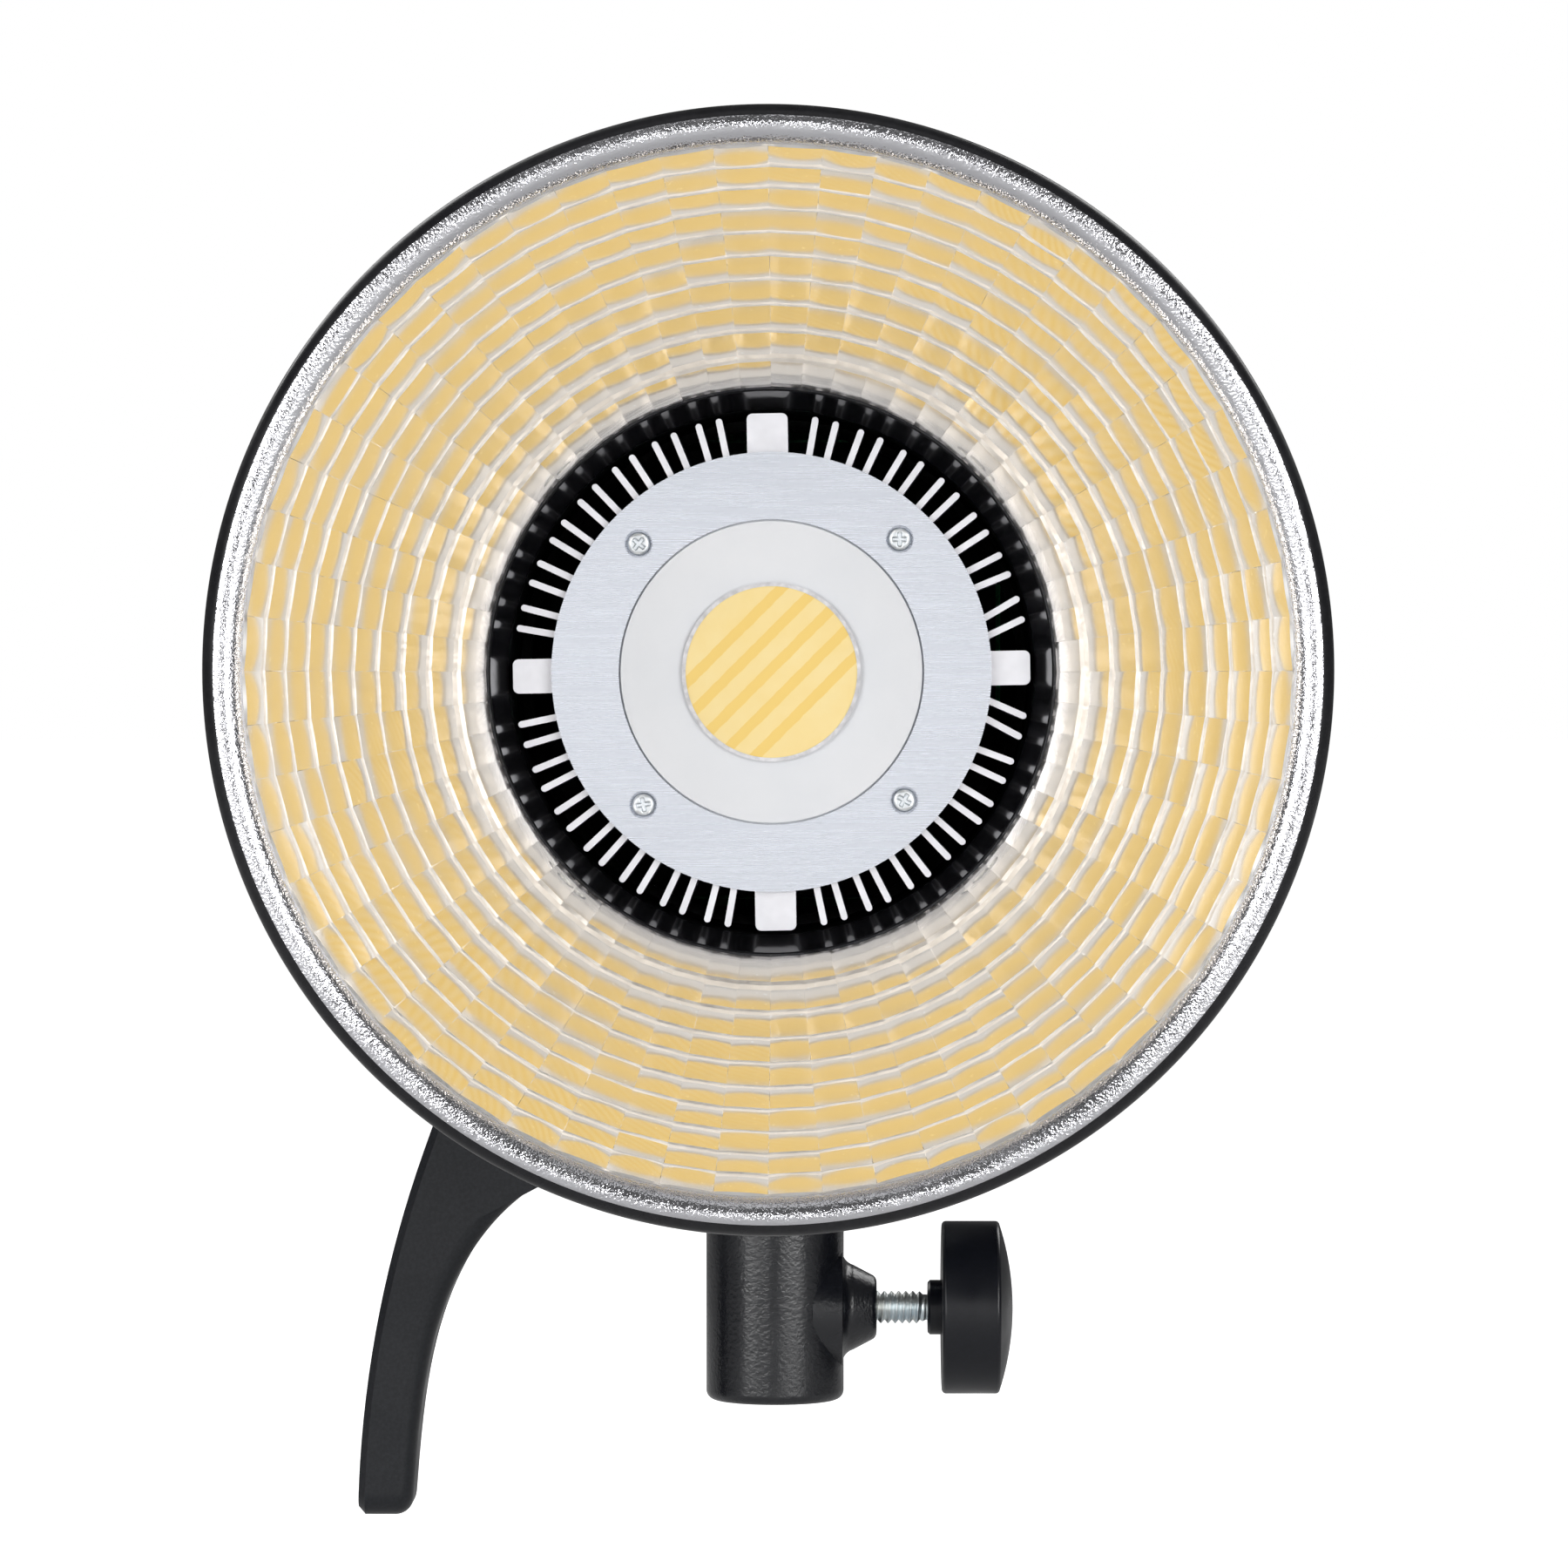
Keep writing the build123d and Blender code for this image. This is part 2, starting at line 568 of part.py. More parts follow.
def make_heatsink():
    """Extruded radial heatsink with forked fins, four lugs and a solid disc behind the module."""
    root_r, tip_r = SINK_CORE_R - 3, SINK_R - FIN / 2
    with BuildPart() as sink:
        with BuildSketch(across(SINK_BACK_F)):
            Circle(SINK_CORE_R)
            Circle(8, mode=Mode.SUBTRACT)
            for angle in fin_angles():
                from_lug = (angle - MODULE_TURN + 180) % 360 - 180
                if abs(from_lug) < 16:
                    bent = angle - LEAN * from_lug / abs(from_lug)
                    round_strip(polar(root_r, bent), polar(PLATE_R, bent), FIN)
                    round_strip(polar(PLATE_R, bent), polar(tip_r, angle), FIN)
                else:
                    round_strip(polar(root_r, angle), polar(tip_r, angle), FIN)
            for k in range(4):
                angle = MODULE_TURN + 90 * k
                width = 6.8 if k % 2 == 0 else 8.1
                with Locations(Location(polar((root_r + SINK_R) / 2, angle), angle)):
                    RectangleRounded(SINK_R - root_r, width, 1.2)
        extrude(amount=SINK_FRONT_F - SINK_BACK_F)
        turned_ring(SINK_FRONT_F - 8, SINK_FRONT_F, 0, SINK_DISC_R)
        places = [in_module(x * PLATE_SCREW, z * PLATE_SCREW) for x, z in CORNERS]
        pegs(SINK_FRONT_F - 7, SINK_FRONT_F + 1, 1.55, places, Mode.SUBTRACT)
    sink.part.label = "heatsink"
    return sink.part


def make_thermal_pad():
    with BuildPart() as pad:
        turned_ring(SINK_FRONT_F, SINK_FRONT_F + 0.3, 0, 31.0)
    pad.part.label = "thermal_pad"
    return pad.part


def make_cob_board():
    """White-faced LED board, stepped so that the cover plate holds its edge."""
    base = SINK_FRONT_F + 0.3
    with BuildPart() as board:
        turned_ring(base, base + 0.8, 0, 32.5)
        turned_ring(base, SINK_FRONT_F + PLATE_T - 0.1, 0, DISC_R)
    board.part.label = "cob_board"
    return board.part


def make_phosphor():
    face = SINK_FRONT_F + PLATE_T - 0.1
    with BuildPart() as phosphor:
        turned_ring(face, LED_F, 0, EMITTER_R)
    phosphor.part.label = "cob_phosphor"
    return phosphor.part


def make_phosphor_dam():
    face = SINK_FRONT_F + PLATE_T - 0.1
    with BuildPart() as dam:
        turned_ring(face, LED_F + 0.15, EMITTER_R, EMITTER_R + 0.75)
    dam.part.label = "phosphor_dam"
    return dam.part


def make_cover_plate():
    """Round brushed plate that clamps the LED board, with four counterbored screw holes."""
    front = SINK_FRONT_F + PLATE_T
    places = [in_module(x * PLATE_SCREW, z * PLATE_SCREW) for x, z in CORNERS]
    with BuildPart() as plate:
        turned_ring(SINK_FRONT_F, front, DISC_R + 0.4, PLATE_R)
        turned_ring(SINK_FRONT_F - 1, SINK_FRONT_F + 1.2, 0, 32.8, Mode.SUBTRACT)
        pegs(SINK_FRONT_F - 1, front + 1, 1.65, places, Mode.SUBTRACT)
        pegs(front - 1.6, front + 1, 2.75, places, Mode.SUBTRACT)
    plate.part.label = "cover_plate"
    return plate.part


def make_plate_screws():
    seat = SINK_FRONT_F + PLATE_T - 1.6
    places = [in_module(x * PLATE_SCREW, z * PLATE_SCREW) for x, z in CORNERS]
    with BuildPart() as screws:
        machine_screw(SINK_FRONT_F - 6.5, seat, 1.5, 2.35, 1.4, places)
    screws.part.label = "cover_plate_screws"
    return screws.part


# ---------------------------------------------------------------- fan
def make_fan_frame():
    """Square fan frame with a round bore, and the motor seat on four struts at its back."""
    depth = FAN_FRONT_F - FAN_BACK_F
    with BuildPart() as frame:
        block(FAN_BACK_F, FAN_FRONT_F, FAN, FAN, corner=5)
        turned_ring(FAN_BACK_F - 1, FAN_FRONT_F + 1, 0, FAN_BORE_R, Mode.SUBTRACT)
        turned_ring(FAN_BACK_F, FAN_BACK_F + 3, 0, FAN_HUB_R)
        for angle in (20, 110, 200, 290):
            with BuildSketch(across(FAN_BACK_F)) as strut:
                middle = (FAN_HUB_R + FAN_BORE_R) / 2
                with Locations(Location(polar(middle, angle), angle)):
                    Rectangle(FAN_BORE_R - FAN_HUB_R + 3, 3)
            extrude(strut.sketch, amount=2.4)
        turned_ring(FAN_BACK_F + 3, FAN_BACK_F + depth - 6, 0, 2.5)
        pegs(FAN_BACK_F - 1, FAN_FRONT_F + 1, 2.15, FAN_PLACES, Mode.SUBTRACT)
    frame.part.label = "fan_frame"
    return frame.part


def make_fan_rotor():
    """Cup-shaped rotor with pitched blades."""
    back, front = FAN_BACK_F + 3.6, FAN_FRONT_F - 2
    middle = (back + front) / 2
    span = FAN_BORE_R - FAN_HUB_R - 0.6
    with BuildPart() as rotor:
        turned_ring(back, front, 0, FAN_HUB_R)
        turned_ring(back - 1, FAN_BACK_F + 20, 0, 2.5 + RUNNING, Mode.SUBTRACT)
        for k in range(BLADES):
            angle = k * 360 / BLADES
            plane = Plane(
                origin=(
                    (FAN_HUB_R - 1.5) * cos(radians(angle)),
                    -middle,
                    HEAD_Z + (FAN_HUB_R - 1.5) * sin(radians(angle)),
                ),
                x_dir=(-sin(radians(angle)), 0, cos(radians(angle))),
                z_dir=(cos(radians(angle)), 0, sin(radians(angle))),
            )
            with BuildSketch(plane) as blade:
                with Locations(Location((0, 0), 52)):
                    Rectangle(20, 1.6)
            extrude(blade.sketch, amount=span)
        turned_ring(back - 5, front + 5, FAN_BORE_R - 0.8, FAN_BORE_R + 12, Mode.SUBTRACT)
    rotor.part.label = "fan_rotor"
    return rotor.part


def make_fan_screws():
    with BuildPart() as screws:
        machine_screw(FAN_FRONT_F + 8, FAN_BACK_F, 1.9, 3.4, -2.2, FAN_PLACES)
    screws.part.label = "fan_screws"
    return screws.part


# ---------------------------------------------------------------- casing
def casing_tube():
    """The whole extruded casing with its bosses and vents, before it is cut in two."""
    inner_corner = CASE_CORNER - WALL
    with BuildPart() as tube:
        block(CASE_BACK_F, CASE_FRONT_F, CASE, CASE, corner=CASE_CORNER)
        block(CASE_BACK_F - 1, CASE_FRONT_F + 1, CASE - 2 * WALL, CASE - 2 * WALL, corner=inner_corner,
              mode=Mode.SUBTRACT)
        pegs(CASE_BACK_F, CASE_BACK_F + 16, BOSS_R, BOSS_PLACES, inner=1.3)
        pegs(CASE_FRONT_F - 16, CASE_FRONT_F, BOSS_R, BOSS_PLACES, inner=1.55)
        with BuildSketch(Plane.YZ.offset(-CASE)) as vents:
            for first, count in ((14, 9), (-74, 9)):
                for k in range(count):
                    for side in (-1, 1):
                        with Locations(Location((-(first + 7 * k), HEAD_Z + side * 17), 90)):
                            SlotOverall(26, 3.2)
        extrude(vents.sketch, amount=2 * CASE, mode=Mode.SUBTRACT)
        with BuildSketch(Plane.XY.offset(HEAD_Z + CASE / 2 - 6)) as roof:
            with GridLocations(34, 7, 2, 9):
                with Locations((0, -46)):
                    SlotOverall(28, 3.2)
            with GridLocations(34, 7, 2, 7):
                with Locations((0, 46)):
                    SlotOverall(28, 3.2)
        extrude(roof.sketch, amount=10, mode=Mode.SUBTRACT)
    return tube.part


def make_upper_shell():
    with BuildPart() as shell:
        add(casing_tube())
        split(bisect_by=Plane.XY.offset(HEAD_Z), keep=Keep.TOP)
    shell.part.label = "upper_shell"
    return shell.part


def make_lower_shell():
    """Lower half, drilled for the foot's screws and the board's standoffs."""
    with BuildPart() as shell:
        add(casing_tube())
        split(bisect_by=Plane.XY.offset(HEAD_Z), keep=Keep.BOTTOM)
        with BuildSketch(Plane.XY.offset(HEAD_Z - CASE / 2 - 1)) as drill:
            with Locations(*FOOT_HOLES):
                Circle(2.2)
        extrude(drill.sketch, amount=WALL + 2, mode=Mode.SUBTRACT)
    shell.part.label = "lower_shell"
    return shell.part


def make_tilt_foot():
    """Cast foot under the casing, with two ears that straddle the bracket's barrel."""
    top = HEAD_Z - CASE / 2
    with BuildPart() as foot:
        with BuildSketch(Plane.XY.offset(top - FOOT_T)):
            RectangleRounded(2 * 34, 2 * 30, 6)
        extrude(amount=FOOT_T)
        for side in (-1, 1):
            with BuildSketch(Plane.YZ.offset(min(side * EAR_IN, side * EAR_OUT))) as ear:
                with Locations((0, PIVOT_Z)):
                    Circle(EAR_R)
                with BuildLine():
                    Polyline((-EAR_R, PIVOT_Z), (-22, top - 1), (22, top - 1), (EAR_R, PIVOT_Z), close=True)
                make_face()
            extrude(ear.sketch, amount=EAR_OUT - EAR_IN)
        reach = EAR_OUT + 1
        turned_ring(-reach, reach, 0, BOLT_R + RUNNING, Mode.SUBTRACT, PIVOT_SECTION, PIVOT)
        with BuildSketch(Plane.XY.offset(top - FOOT_T - 1)) as drill:
            with Locations(*FOOT_HOLES):
                Circle(2.2)
        extrude(drill.sketch, amount=FOOT_T + 2, mode=Mode.SUBTRACT)
    foot.part.label = "tilt_foot"
    return foot.part


def make_foot_screws():
    """Four screws from inside the casing into the foot."""
    top = HEAD_Z - CASE / 2
    with BuildPart() as screws:
        with BuildSketch(Plane.XY.offset(top - FOOT_T + 0.5)):
            with Locations(*FOOT_HOLES):
                Circle(2.0)
        extrude(amount=FOOT_T - 0.5 + WALL)
        with BuildSketch(Plane.XY.offset(top + WALL)):
            with Locations(*FOOT_HOLES):
                Circle(3.5)
        extrude(amount=2.6)
    screws.part.label = "foot_screws"
    return screws.part


# ---------------------------------------------------------------- electronics
def flat_board(z, thickness, x_size, y_size, y, holes=()):
    with BuildSketch(Plane.XY.offset(HEAD_Z + z)) as outline:
        with Locations((0, y)):
            RectangleRounded(x_size, y_size, 2)
            if holes:
                with Locations(*holes):
                    Circle(1.7, mode=Mode.SUBTRACT)
    extrude(outline.sketch, amount=thickness)


def make_power_board():
    with BuildPart() as board:
        flat_board(BOARD_Z, BOARD_T, 64, 56, BOARD_Y, BOARD_HOLES)
    board.part.label = "power_board"
    return board.part


def make_standoffs():
    """Hexagonal standoffs between the lower shell and the power board, with their screws."""
    floor = -CASE / 2 + WALL
    with BuildPart() as standoffs:
        with BuildSketch(Plane.XY.offset(HEAD_Z + floor)):
            with Locations((0, BOARD_Y)):
                with Locations(*BOARD_HOLES):
                    RegularPolygon(3, 6)
        extrude(amount=BOARD_Z - floor)
        with BuildSketch(Plane.XY.offset(HEAD_Z + BOARD_Z)):
            with Locations((0, BOARD_Y)):
                with Locations(*BOARD_HOLES):
                    Circle(1.5)
        extrude(amount=BOARD_T)
        with BuildSketch(Plane.XY.offset(HEAD_Z + BOARD_Z + BOARD_T)):
            with Locations((0, BOARD_Y)):
                with Locations(*BOARD_HOLES):
                    Circle(2.8)
        extrude(amount=2)
    standoffs.part.label = "board_standoffs"
    return standoffs.part


def make_transformer():
    """Ferrite core with its wound bobbin."""
    base = HEAD_Z + BOARD_Z + BOARD_T
    with BuildPart() as transformer:
        with BuildSketch(Plane.XY.offset(base)):
            with Locations((-14, BOARD_Y - 2)):
                Rectangle(26, 8)
        extrude(amount=24)
        with BuildSketch(Plane.XY.offset(base + 4)):
            with Locations((-14, BOARD_Y - 2)):
                RectangleRounded(17, 22, 6)
        extrude(amount=16)
    transformer.part.label = "transformer"
    return transformer.part


def make_capacitors():
    base = HEAD_Z + BOARD_Z + BOARD_T
    with BuildPart() as capacitors:
        with BuildSketch(Plane.XY.offset(base)):
            with Locations((14, BOARD_Y - 12), (14, BOARD_Y + 10)):
                Circle(9)
        extrude(amount=26)
        chamfer(capacitors.faces().group_by(Axis.Z)[-1].edges(), 0.8)
    capacitors.part.label = "capacitors"
    return capacitors.part


def make_choke():
    """Toroidal mains choke standing on the board."""
    with BuildPart() as choke:
        with BuildSketch(Plane.YZ.offset(27)):
            with Locations((BOARD_Y, HEAD_Z + BOARD_Z + BOARD_T + 9)):
                Circle(9)
                Circle(4, mode=Mode.SUBTRACT)
        extrude(amount=7)
    choke.part.label = "mains_choke"
    return choke.part


def make_driver_board():
    with BuildPart() as board:
        flat_board(50, BOARD_T, 64, 60, 42)
    board.part.label = "driver_board"
    return board.part


def make_driver_inductors():
    """Two moulded inductors hanging from the driver board."""
    with BuildPart() as inductors:
        with BuildSketch(Plane.XY.offset(HEAD_Z + 39)):
            with Locations((-16, 36), (12, 36)):
                RectangleRounded(18, 18, 3)
        extrude(amount=11)
    inductors.part.label = "driver_inductors"
    return inductors.part


# ---------------------------------------------------------------- rear panel and controls
def make_rear_panel():
    """Dished moulding that closes the casing's back, cut for the controls."""
    with BuildPart() as panel:
        block(PANEL_BACK_F, CASE_BACK_F, CASE, CASE, corner=CASE_CORNER)
        fillet(panel.faces().sort_by(Axis.Y)[-1].edges(), 2.4)
        block(PLATE_IN_F, CASE_BACK_F + 1, CASE - 2 * WALL, CASE - 2 * WALL, corner=CASE_CORNER - WALL,
              mode=Mode.SUBTRACT)
        pegs(PLATE_IN_F - 0.5, CASE_BACK_F, BOSS_R, BOSS_PLACES)
        pegs(PANEL_BACK_F - 1, CASE_BACK_F + 1, 1.7, BOSS_PLACES, Mode.SUBTRACT)
        pegs(PANEL_BACK_F - 1, PANEL_BACK_F + 2.6, 3.1, BOSS_PLACES, Mode.SUBTRACT)
        width, height = DISPLAY_SIZE
        block(PANEL_BACK_F - 1, PANEL_BACK_F + 1.2, width, height, *DISPLAY, corner=2, mode=Mode.SUBTRACT)
        block(PANEL_BACK_F - 1, PLATE_IN_F + 1, width - 4, height - 4, *DISPLAY, mode=Mode.SUBTRACT)
        pegs(PANEL_BACK_F - 1, PLATE_IN_F + 1, 4.6, [DIAL], Mode.SUBTRACT)
        for place in BUTTONS:
            width, height = (size + 2 * GAP for size in BUTTON_SIZE)
            block(PANEL_BACK_F - 1, PLATE_IN_F + 1, width, height, *place, corner=2, mode=Mode.SUBTRACT)
        block(PANEL_BACK_F - 1, PLATE_IN_F + 1, 27.4, 20.2, *INLET, mode=Mode.SUBTRACT)
        pegs(PANEL_BACK_F - 1, PLATE_IN_F + 1, 1.6, INLET_SCREWS, Mode.SUBTRACT)
        block(PANEL_BACK_F - 1, PLATE_IN_F + 1, 19.4, 13.4, *SWITCH, mode=Mode.SUBTRACT)
    panel.part.label = "rear_panel"
    return panel.part


def make_panel_screws():
    with BuildPart() as screws:
        machine_screw(CASE_BACK_F + 11, PANEL_BACK_F + 2.6, 1.25, 2.8, -2.0, BOSS_PLACES)
    screws.part.label = "rear_panel_screws"
    return screws.part


def make_display_window():
    width, height = DISPLAY_SIZE
    with BuildPart() as window:
        block(PANEL_BACK_F, PANEL_BACK_F + 1.2, width - 0.2, height - 0.2, *DISPLAY, corner=1.9)
    window.part.label = "display_window"
    return window.part


def make_display():
    width, height = DISPLAY_SIZE
    with BuildPart() as display:
        block(PLATE_IN_F - 1.6, PLATE_IN_F + 2, width - 4.4, height - 4.4, *DISPLAY)
    display.part.label = "display_module"
    return display.part


def make_control_board():
    """Board behind the panel with a tactile switch under each button."""
    board_f = CASE_BACK_F + 2
    with BuildPart() as board:
        block(board_f, board_f + 1.6, 100, 50, 0, 17, corner=2)
        for place in BUTTONS:
            block(PLATE_IN_F + 3.2, board_f, 6, 6, *place)
    board.part.label = "control_board"
    return board.part


def make_encoder():
    """Body and bushing of the dial's rotary encoder."""
    with BuildPart() as encoder:
        block(PLATE_IN_F, CASE_BACK_F + 2, 13, 13, *DIAL)
        pegs(PANEL_BACK_F - 2.5, PLATE_IN_F, 4.4, [DIAL])
        pegs(PANEL_BACK_F - 3, CASE_BACK_F + 1, 3.0 + RUNNING, [DIAL], Mode.SUBTRACT)
    encoder.part.label = "dial_encoder"
    return encoder.part


def make_dial_shaft():
    with BuildPart() as shaft:
        pegs(PANEL_BACK_F - 12, CASE_BACK_F - 0.5, 3.0, [DIAL])
    shaft.part.label = "dial_shaft"
    return shaft.part


def make_dial():
    """Fluted dial knob with an indicator groove."""
    back, front = PANEL_BACK_F - 14.5, PANEL_BACK_F - 0.8
    flutes = 30
    with BuildPart() as dial:
        pegs(back, front, 13.0, [DIAL])
        chamfer(dial.faces().sort_by(Axis.Y)[-1].edges(), 1.2)
        teeth = [(13.3 * cos(2 * pi * k / flutes), 13.3 * sin(2 * pi * k / flutes)) for k in range(flutes)]
        with BuildSketch(across(back + 2, *DIAL)) as cuts:
            with Locations(*teeth):
                Circle(0.7)
        extrude(cuts.sketch, amount=9, mode=Mode.SUBTRACT)
        block(back - 1, back + 0.6, 1.4, 8, DIAL[0], DIAL[1] + 7.5, mode=Mode.SUBTRACT)
        pegs(PANEL_BACK_F - 4.5, front + 1, 6.0, [DIAL], Mode.SUBTRACT)
        pegs(PANEL_BACK_F - 12, front + 1, 3.0, [DIAL], Mode.SUBTRACT)
    dial.part.label = "dial_knob"
    return dial.part


def make_button(name, place):
    """Button cap with a retaining flange behind the panel."""
    width, height = BUTTON_SIZE
    with BuildPart() as button:
        block(PANEL_BACK_F - 1.8, PLATE_IN_F + 1, width, height, *place, corner=1.7)
        fillet(button.faces().sort_by(Axis.Y)[-1].edges(), 0.5)
        block(PLATE_IN_F + 0.4, PLATE_IN_F + 1.6, width + 3, height + 3, *place, corner=1.5)
    button.part.label = name
    return button.part


def make_inlet():
    """Recessed mains inlet with a screw flange."""
    x, z = INLET
    with BuildPart() as inlet:
        block(PANEL_BACK_F - 1.8, PANEL_BACK_F, 48.5, 23, x, z, corner=4)
        block(PANEL_BACK_F, PANEL_BACK_F + 17, 27, 19.8, x, z)
        with BuildSketch(across(PANEL_BACK_F - 3, x, z)) as cavity:
            with BuildLine():
                Polyline((-12.1, -8.2), (12.1, -8.2), (12.1, 4.6), (8.4, 8.2), (-8.4, 8.2), (-12.1, 4.6),
                         close=True)
            make_face()
        extrude(cavity.sketch, amount=17, mode=Mode.SUBTRACT)
        pegs(PANEL_BACK_F - 3, PANEL_BACK_F + 1, 1.6, INLET_SCREWS, Mode.SUBTRACT)
        for dx, dz in INLET_PINS:
            block(PANEL_BACK_F + 10, PANEL_BACK_F + 18, 2.0, 4.0, x + dx, z + dz, mode=Mode.SUBTRACT)
    inlet.part.label = "power_inlet"
    return inlet.part


def make_inlet_pins():
    x, z = INLET
    with BuildPart() as pins:
        for dx, dz in INLET_PINS:
            block(PANEL_BACK_F + 1.5, PANEL_BACK_F + 22, 2.0, 4.0, x + dx, z + dz)
    pins.part.label = "inlet_pins"
    return pins.part


def make_inlet_screws():
    with BuildPart() as screws:
        machine_screw(PANEL_BACK_F + 6, PANEL_BACK_F - 1.8, 1.5, 2.7, -1.4, INLET_SCREWS)
    screws.part.label = "inlet_screws"
    return screws.part


def make_switch_frame():
    x, z = SWITCH
    with BuildPart() as frame:
        block(PANEL_BACK_F - 1.6, PANEL_BACK_F, 22, 16, x, z, corner=1.5)
        block(PANEL_BACK_F, PANEL_BACK_F + 15, 19.2, 13.2, x, z)
        block(PANEL_BACK_F - 3, PANEL_BACK_F + 13, 17.2, 11.2, x, z, mode=Mode.SUBTRACT)
    frame.part.label = "switch_frame"
    return frame.part


def make_switch_rocker():
    """Rocker that pivots about a vertical axis; its face is bent at the middle."""
    x, z = SWITCH
    half = radians(SWITCH_THROW / 2)
    reach = 7.9
    plane = Plane(
        origin=(x, -SWITCH_PIVOT_F, HEAD_Z + z - 5.3), x_dir=(cos(half), sin(half), 0), z_dir=(0, 0, 1)
    )
    with BuildPart() as rocker:
        with BuildSketch(plane) as outline:
            with BuildLine():
                Line((-reach, 1.0), (-reach * cos(half), 4.4))
                Line((-reach * cos(half), 4.4), (0, 1.9))
                Line((0, 1.9), (reach * cos(half), 4.4))
                Line((reach * cos(half), 4.4), (reach, 1.0))
                ThreePointArc((reach, 1.0), (0, -6.6), (-reach, 1.0))
            make_face()
        extrude(outline.sketch, amount=10.6)
    rocker.part.label = "switch_rocker"
    return rocker.part


# ---------------------------------------------------------------- write every piece
pieces = [
    make_bracket(), make_friction_washers(), make_pivot_bolt(), make_handle(), make_handle_insert(),
    make_clamp_screw(), make_clamp_knob(), make_knob_insert(),
    make_reflector(), make_collar(), make_collar_rivets(),
    make_mount_ring(), make_mount_screws(), make_front_frame(), make_frame_screws(),
    make_release_slider(), make_release_spring(), make_shroud(), make_duct(),
    make_heatsink(), make_thermal_pad(), make_cob_board(), make_phosphor(), make_phosphor_dam(),
    make_cover_plate(), make_plate_screws(),
    make_fan_frame(), make_fan_rotor(), make_fan_screws(),
    make_upper_shell(), make_lower_shell(), make_tilt_foot(), make_foot_screws(),
    make_power_board(), make_standoffs(), make_transformer(), make_capacitors(), make_choke(),
    make_driver_board(), make_driver_inductors(),
    make_rear_panel(), make_panel_screws(), make_display_window(), make_display(), make_control_board(),
    make_encoder(), make_dial_shaft(), make_dial(),
    make_button("mode_button", BUTTONS[0]), make_button("menu_button", BUTTONS[1]),
    make_button("fan_button", BUTTONS[2]),
    make_inlet(), make_inlet_pins(), make_inlet_screws(), make_switch_frame(), make_switch_rocker(),
]
for piece in pieces:
    export_step(piece, f"parts/{piece.label}.step")
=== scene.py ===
"""Studio LED spotlight with a faceted bowl reflector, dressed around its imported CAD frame."""

import math
import random

import bmesh
import bpy
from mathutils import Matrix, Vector


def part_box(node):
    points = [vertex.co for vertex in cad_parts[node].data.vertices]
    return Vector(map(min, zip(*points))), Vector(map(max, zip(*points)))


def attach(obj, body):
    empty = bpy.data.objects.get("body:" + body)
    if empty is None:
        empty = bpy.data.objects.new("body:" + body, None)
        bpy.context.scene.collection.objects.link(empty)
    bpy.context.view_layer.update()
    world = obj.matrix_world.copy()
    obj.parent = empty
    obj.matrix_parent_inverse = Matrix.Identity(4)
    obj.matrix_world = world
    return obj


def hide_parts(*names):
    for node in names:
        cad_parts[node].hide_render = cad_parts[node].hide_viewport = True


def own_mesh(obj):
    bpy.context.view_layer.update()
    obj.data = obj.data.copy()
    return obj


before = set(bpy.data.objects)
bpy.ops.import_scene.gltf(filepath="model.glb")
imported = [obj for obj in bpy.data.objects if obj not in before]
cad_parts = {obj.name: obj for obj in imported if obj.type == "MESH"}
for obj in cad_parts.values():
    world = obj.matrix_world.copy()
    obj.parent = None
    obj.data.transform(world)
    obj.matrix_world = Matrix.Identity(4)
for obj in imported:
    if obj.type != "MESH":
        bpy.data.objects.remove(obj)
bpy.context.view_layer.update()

MM = 0.001

# ------------------------------------------------------------ sizes in millimetres, from the frame
bowl_low, bowl_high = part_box("reflector_bowl")
AXIS_Z = (bowl_low.z + bowl_high.z) / 2 / MM  # optical axis above the stand socket's mouth
RIM_R = (bowl_high.x - bowl_low.x) / 2 / MM
RIM_F = -bowl_low.y / MM  # forward is -Y
NECK_F = -bowl_high.y / MM
LED_F = -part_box("cob_phosphor")[0].y / MM
screw_low, screw_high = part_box("clamp_screw")
CLAMP_Z = (screw_low.z + screw_high.z) / 2 / MM

# ------------------------------------------------------------ sizes of the bowl
FOCAL = 24.0
THROAT_R = 55.5
FLANGE_R = 61.9
SHEET = 1.4
BEAD_R = 3.7  # rolled edge
RINGS = 10
COLUMNS = 60
FACET_ROWS = 6  # mesh rows in one facet
FACET_COLUMNS = 6
CROWN, OUTER_CROWN = 2.0, 2.7  # how far facets bulge across, and those of the outermost ring
CROWN_SPREAD, TILT_SPREAD, TWIST_SPREAD = 0.5, 0.2, 0.06
GROOVE = 0.008  # share of a facet's width that the pressed lines beside it take
FACETS_END_F = 171.4
BACK_OUTER_R, BACK_INNER_R, BACK_ROWS = 97.6, 56.4, 22  # the bowl's painted back
BEAD_START, BEAD_END, BEAD_ROWS = 212, -128, 40  # degrees round the rolled edge
BARE_COS, BARE_SIN = 0.36, -0.6  # the rolled edge is bare metal inside of these, and painted outside
VIEW_DISTANCE = 1200.0  # the facets are aimed for a viewer this far in front of the rim

# ------------------------------------------------------------ sizes of the cover plate's screws
MODULE_TURN = math.radians(1)
SCREW_SQUARE = 25.8 * math.sqrt(2)
HEAD_R = 2.35
HEAD_SIDES = 64


# ============================================================ node helpers
def add(tree, kind, inputs=None, **settings):
    """A new node with its settings, its input numbers and its links."""
    node = tree.nodes.new("ShaderNode" + kind)
    for name, value in settings.items():
        setattr(node, name, value)
    for name, value in (inputs or {}).items():
        if isinstance(value, bpy.types.NodeSocket):
            tree.links.new(value, node.inputs[name])
        else:
            node.inputs[name].default_value = value
    return node


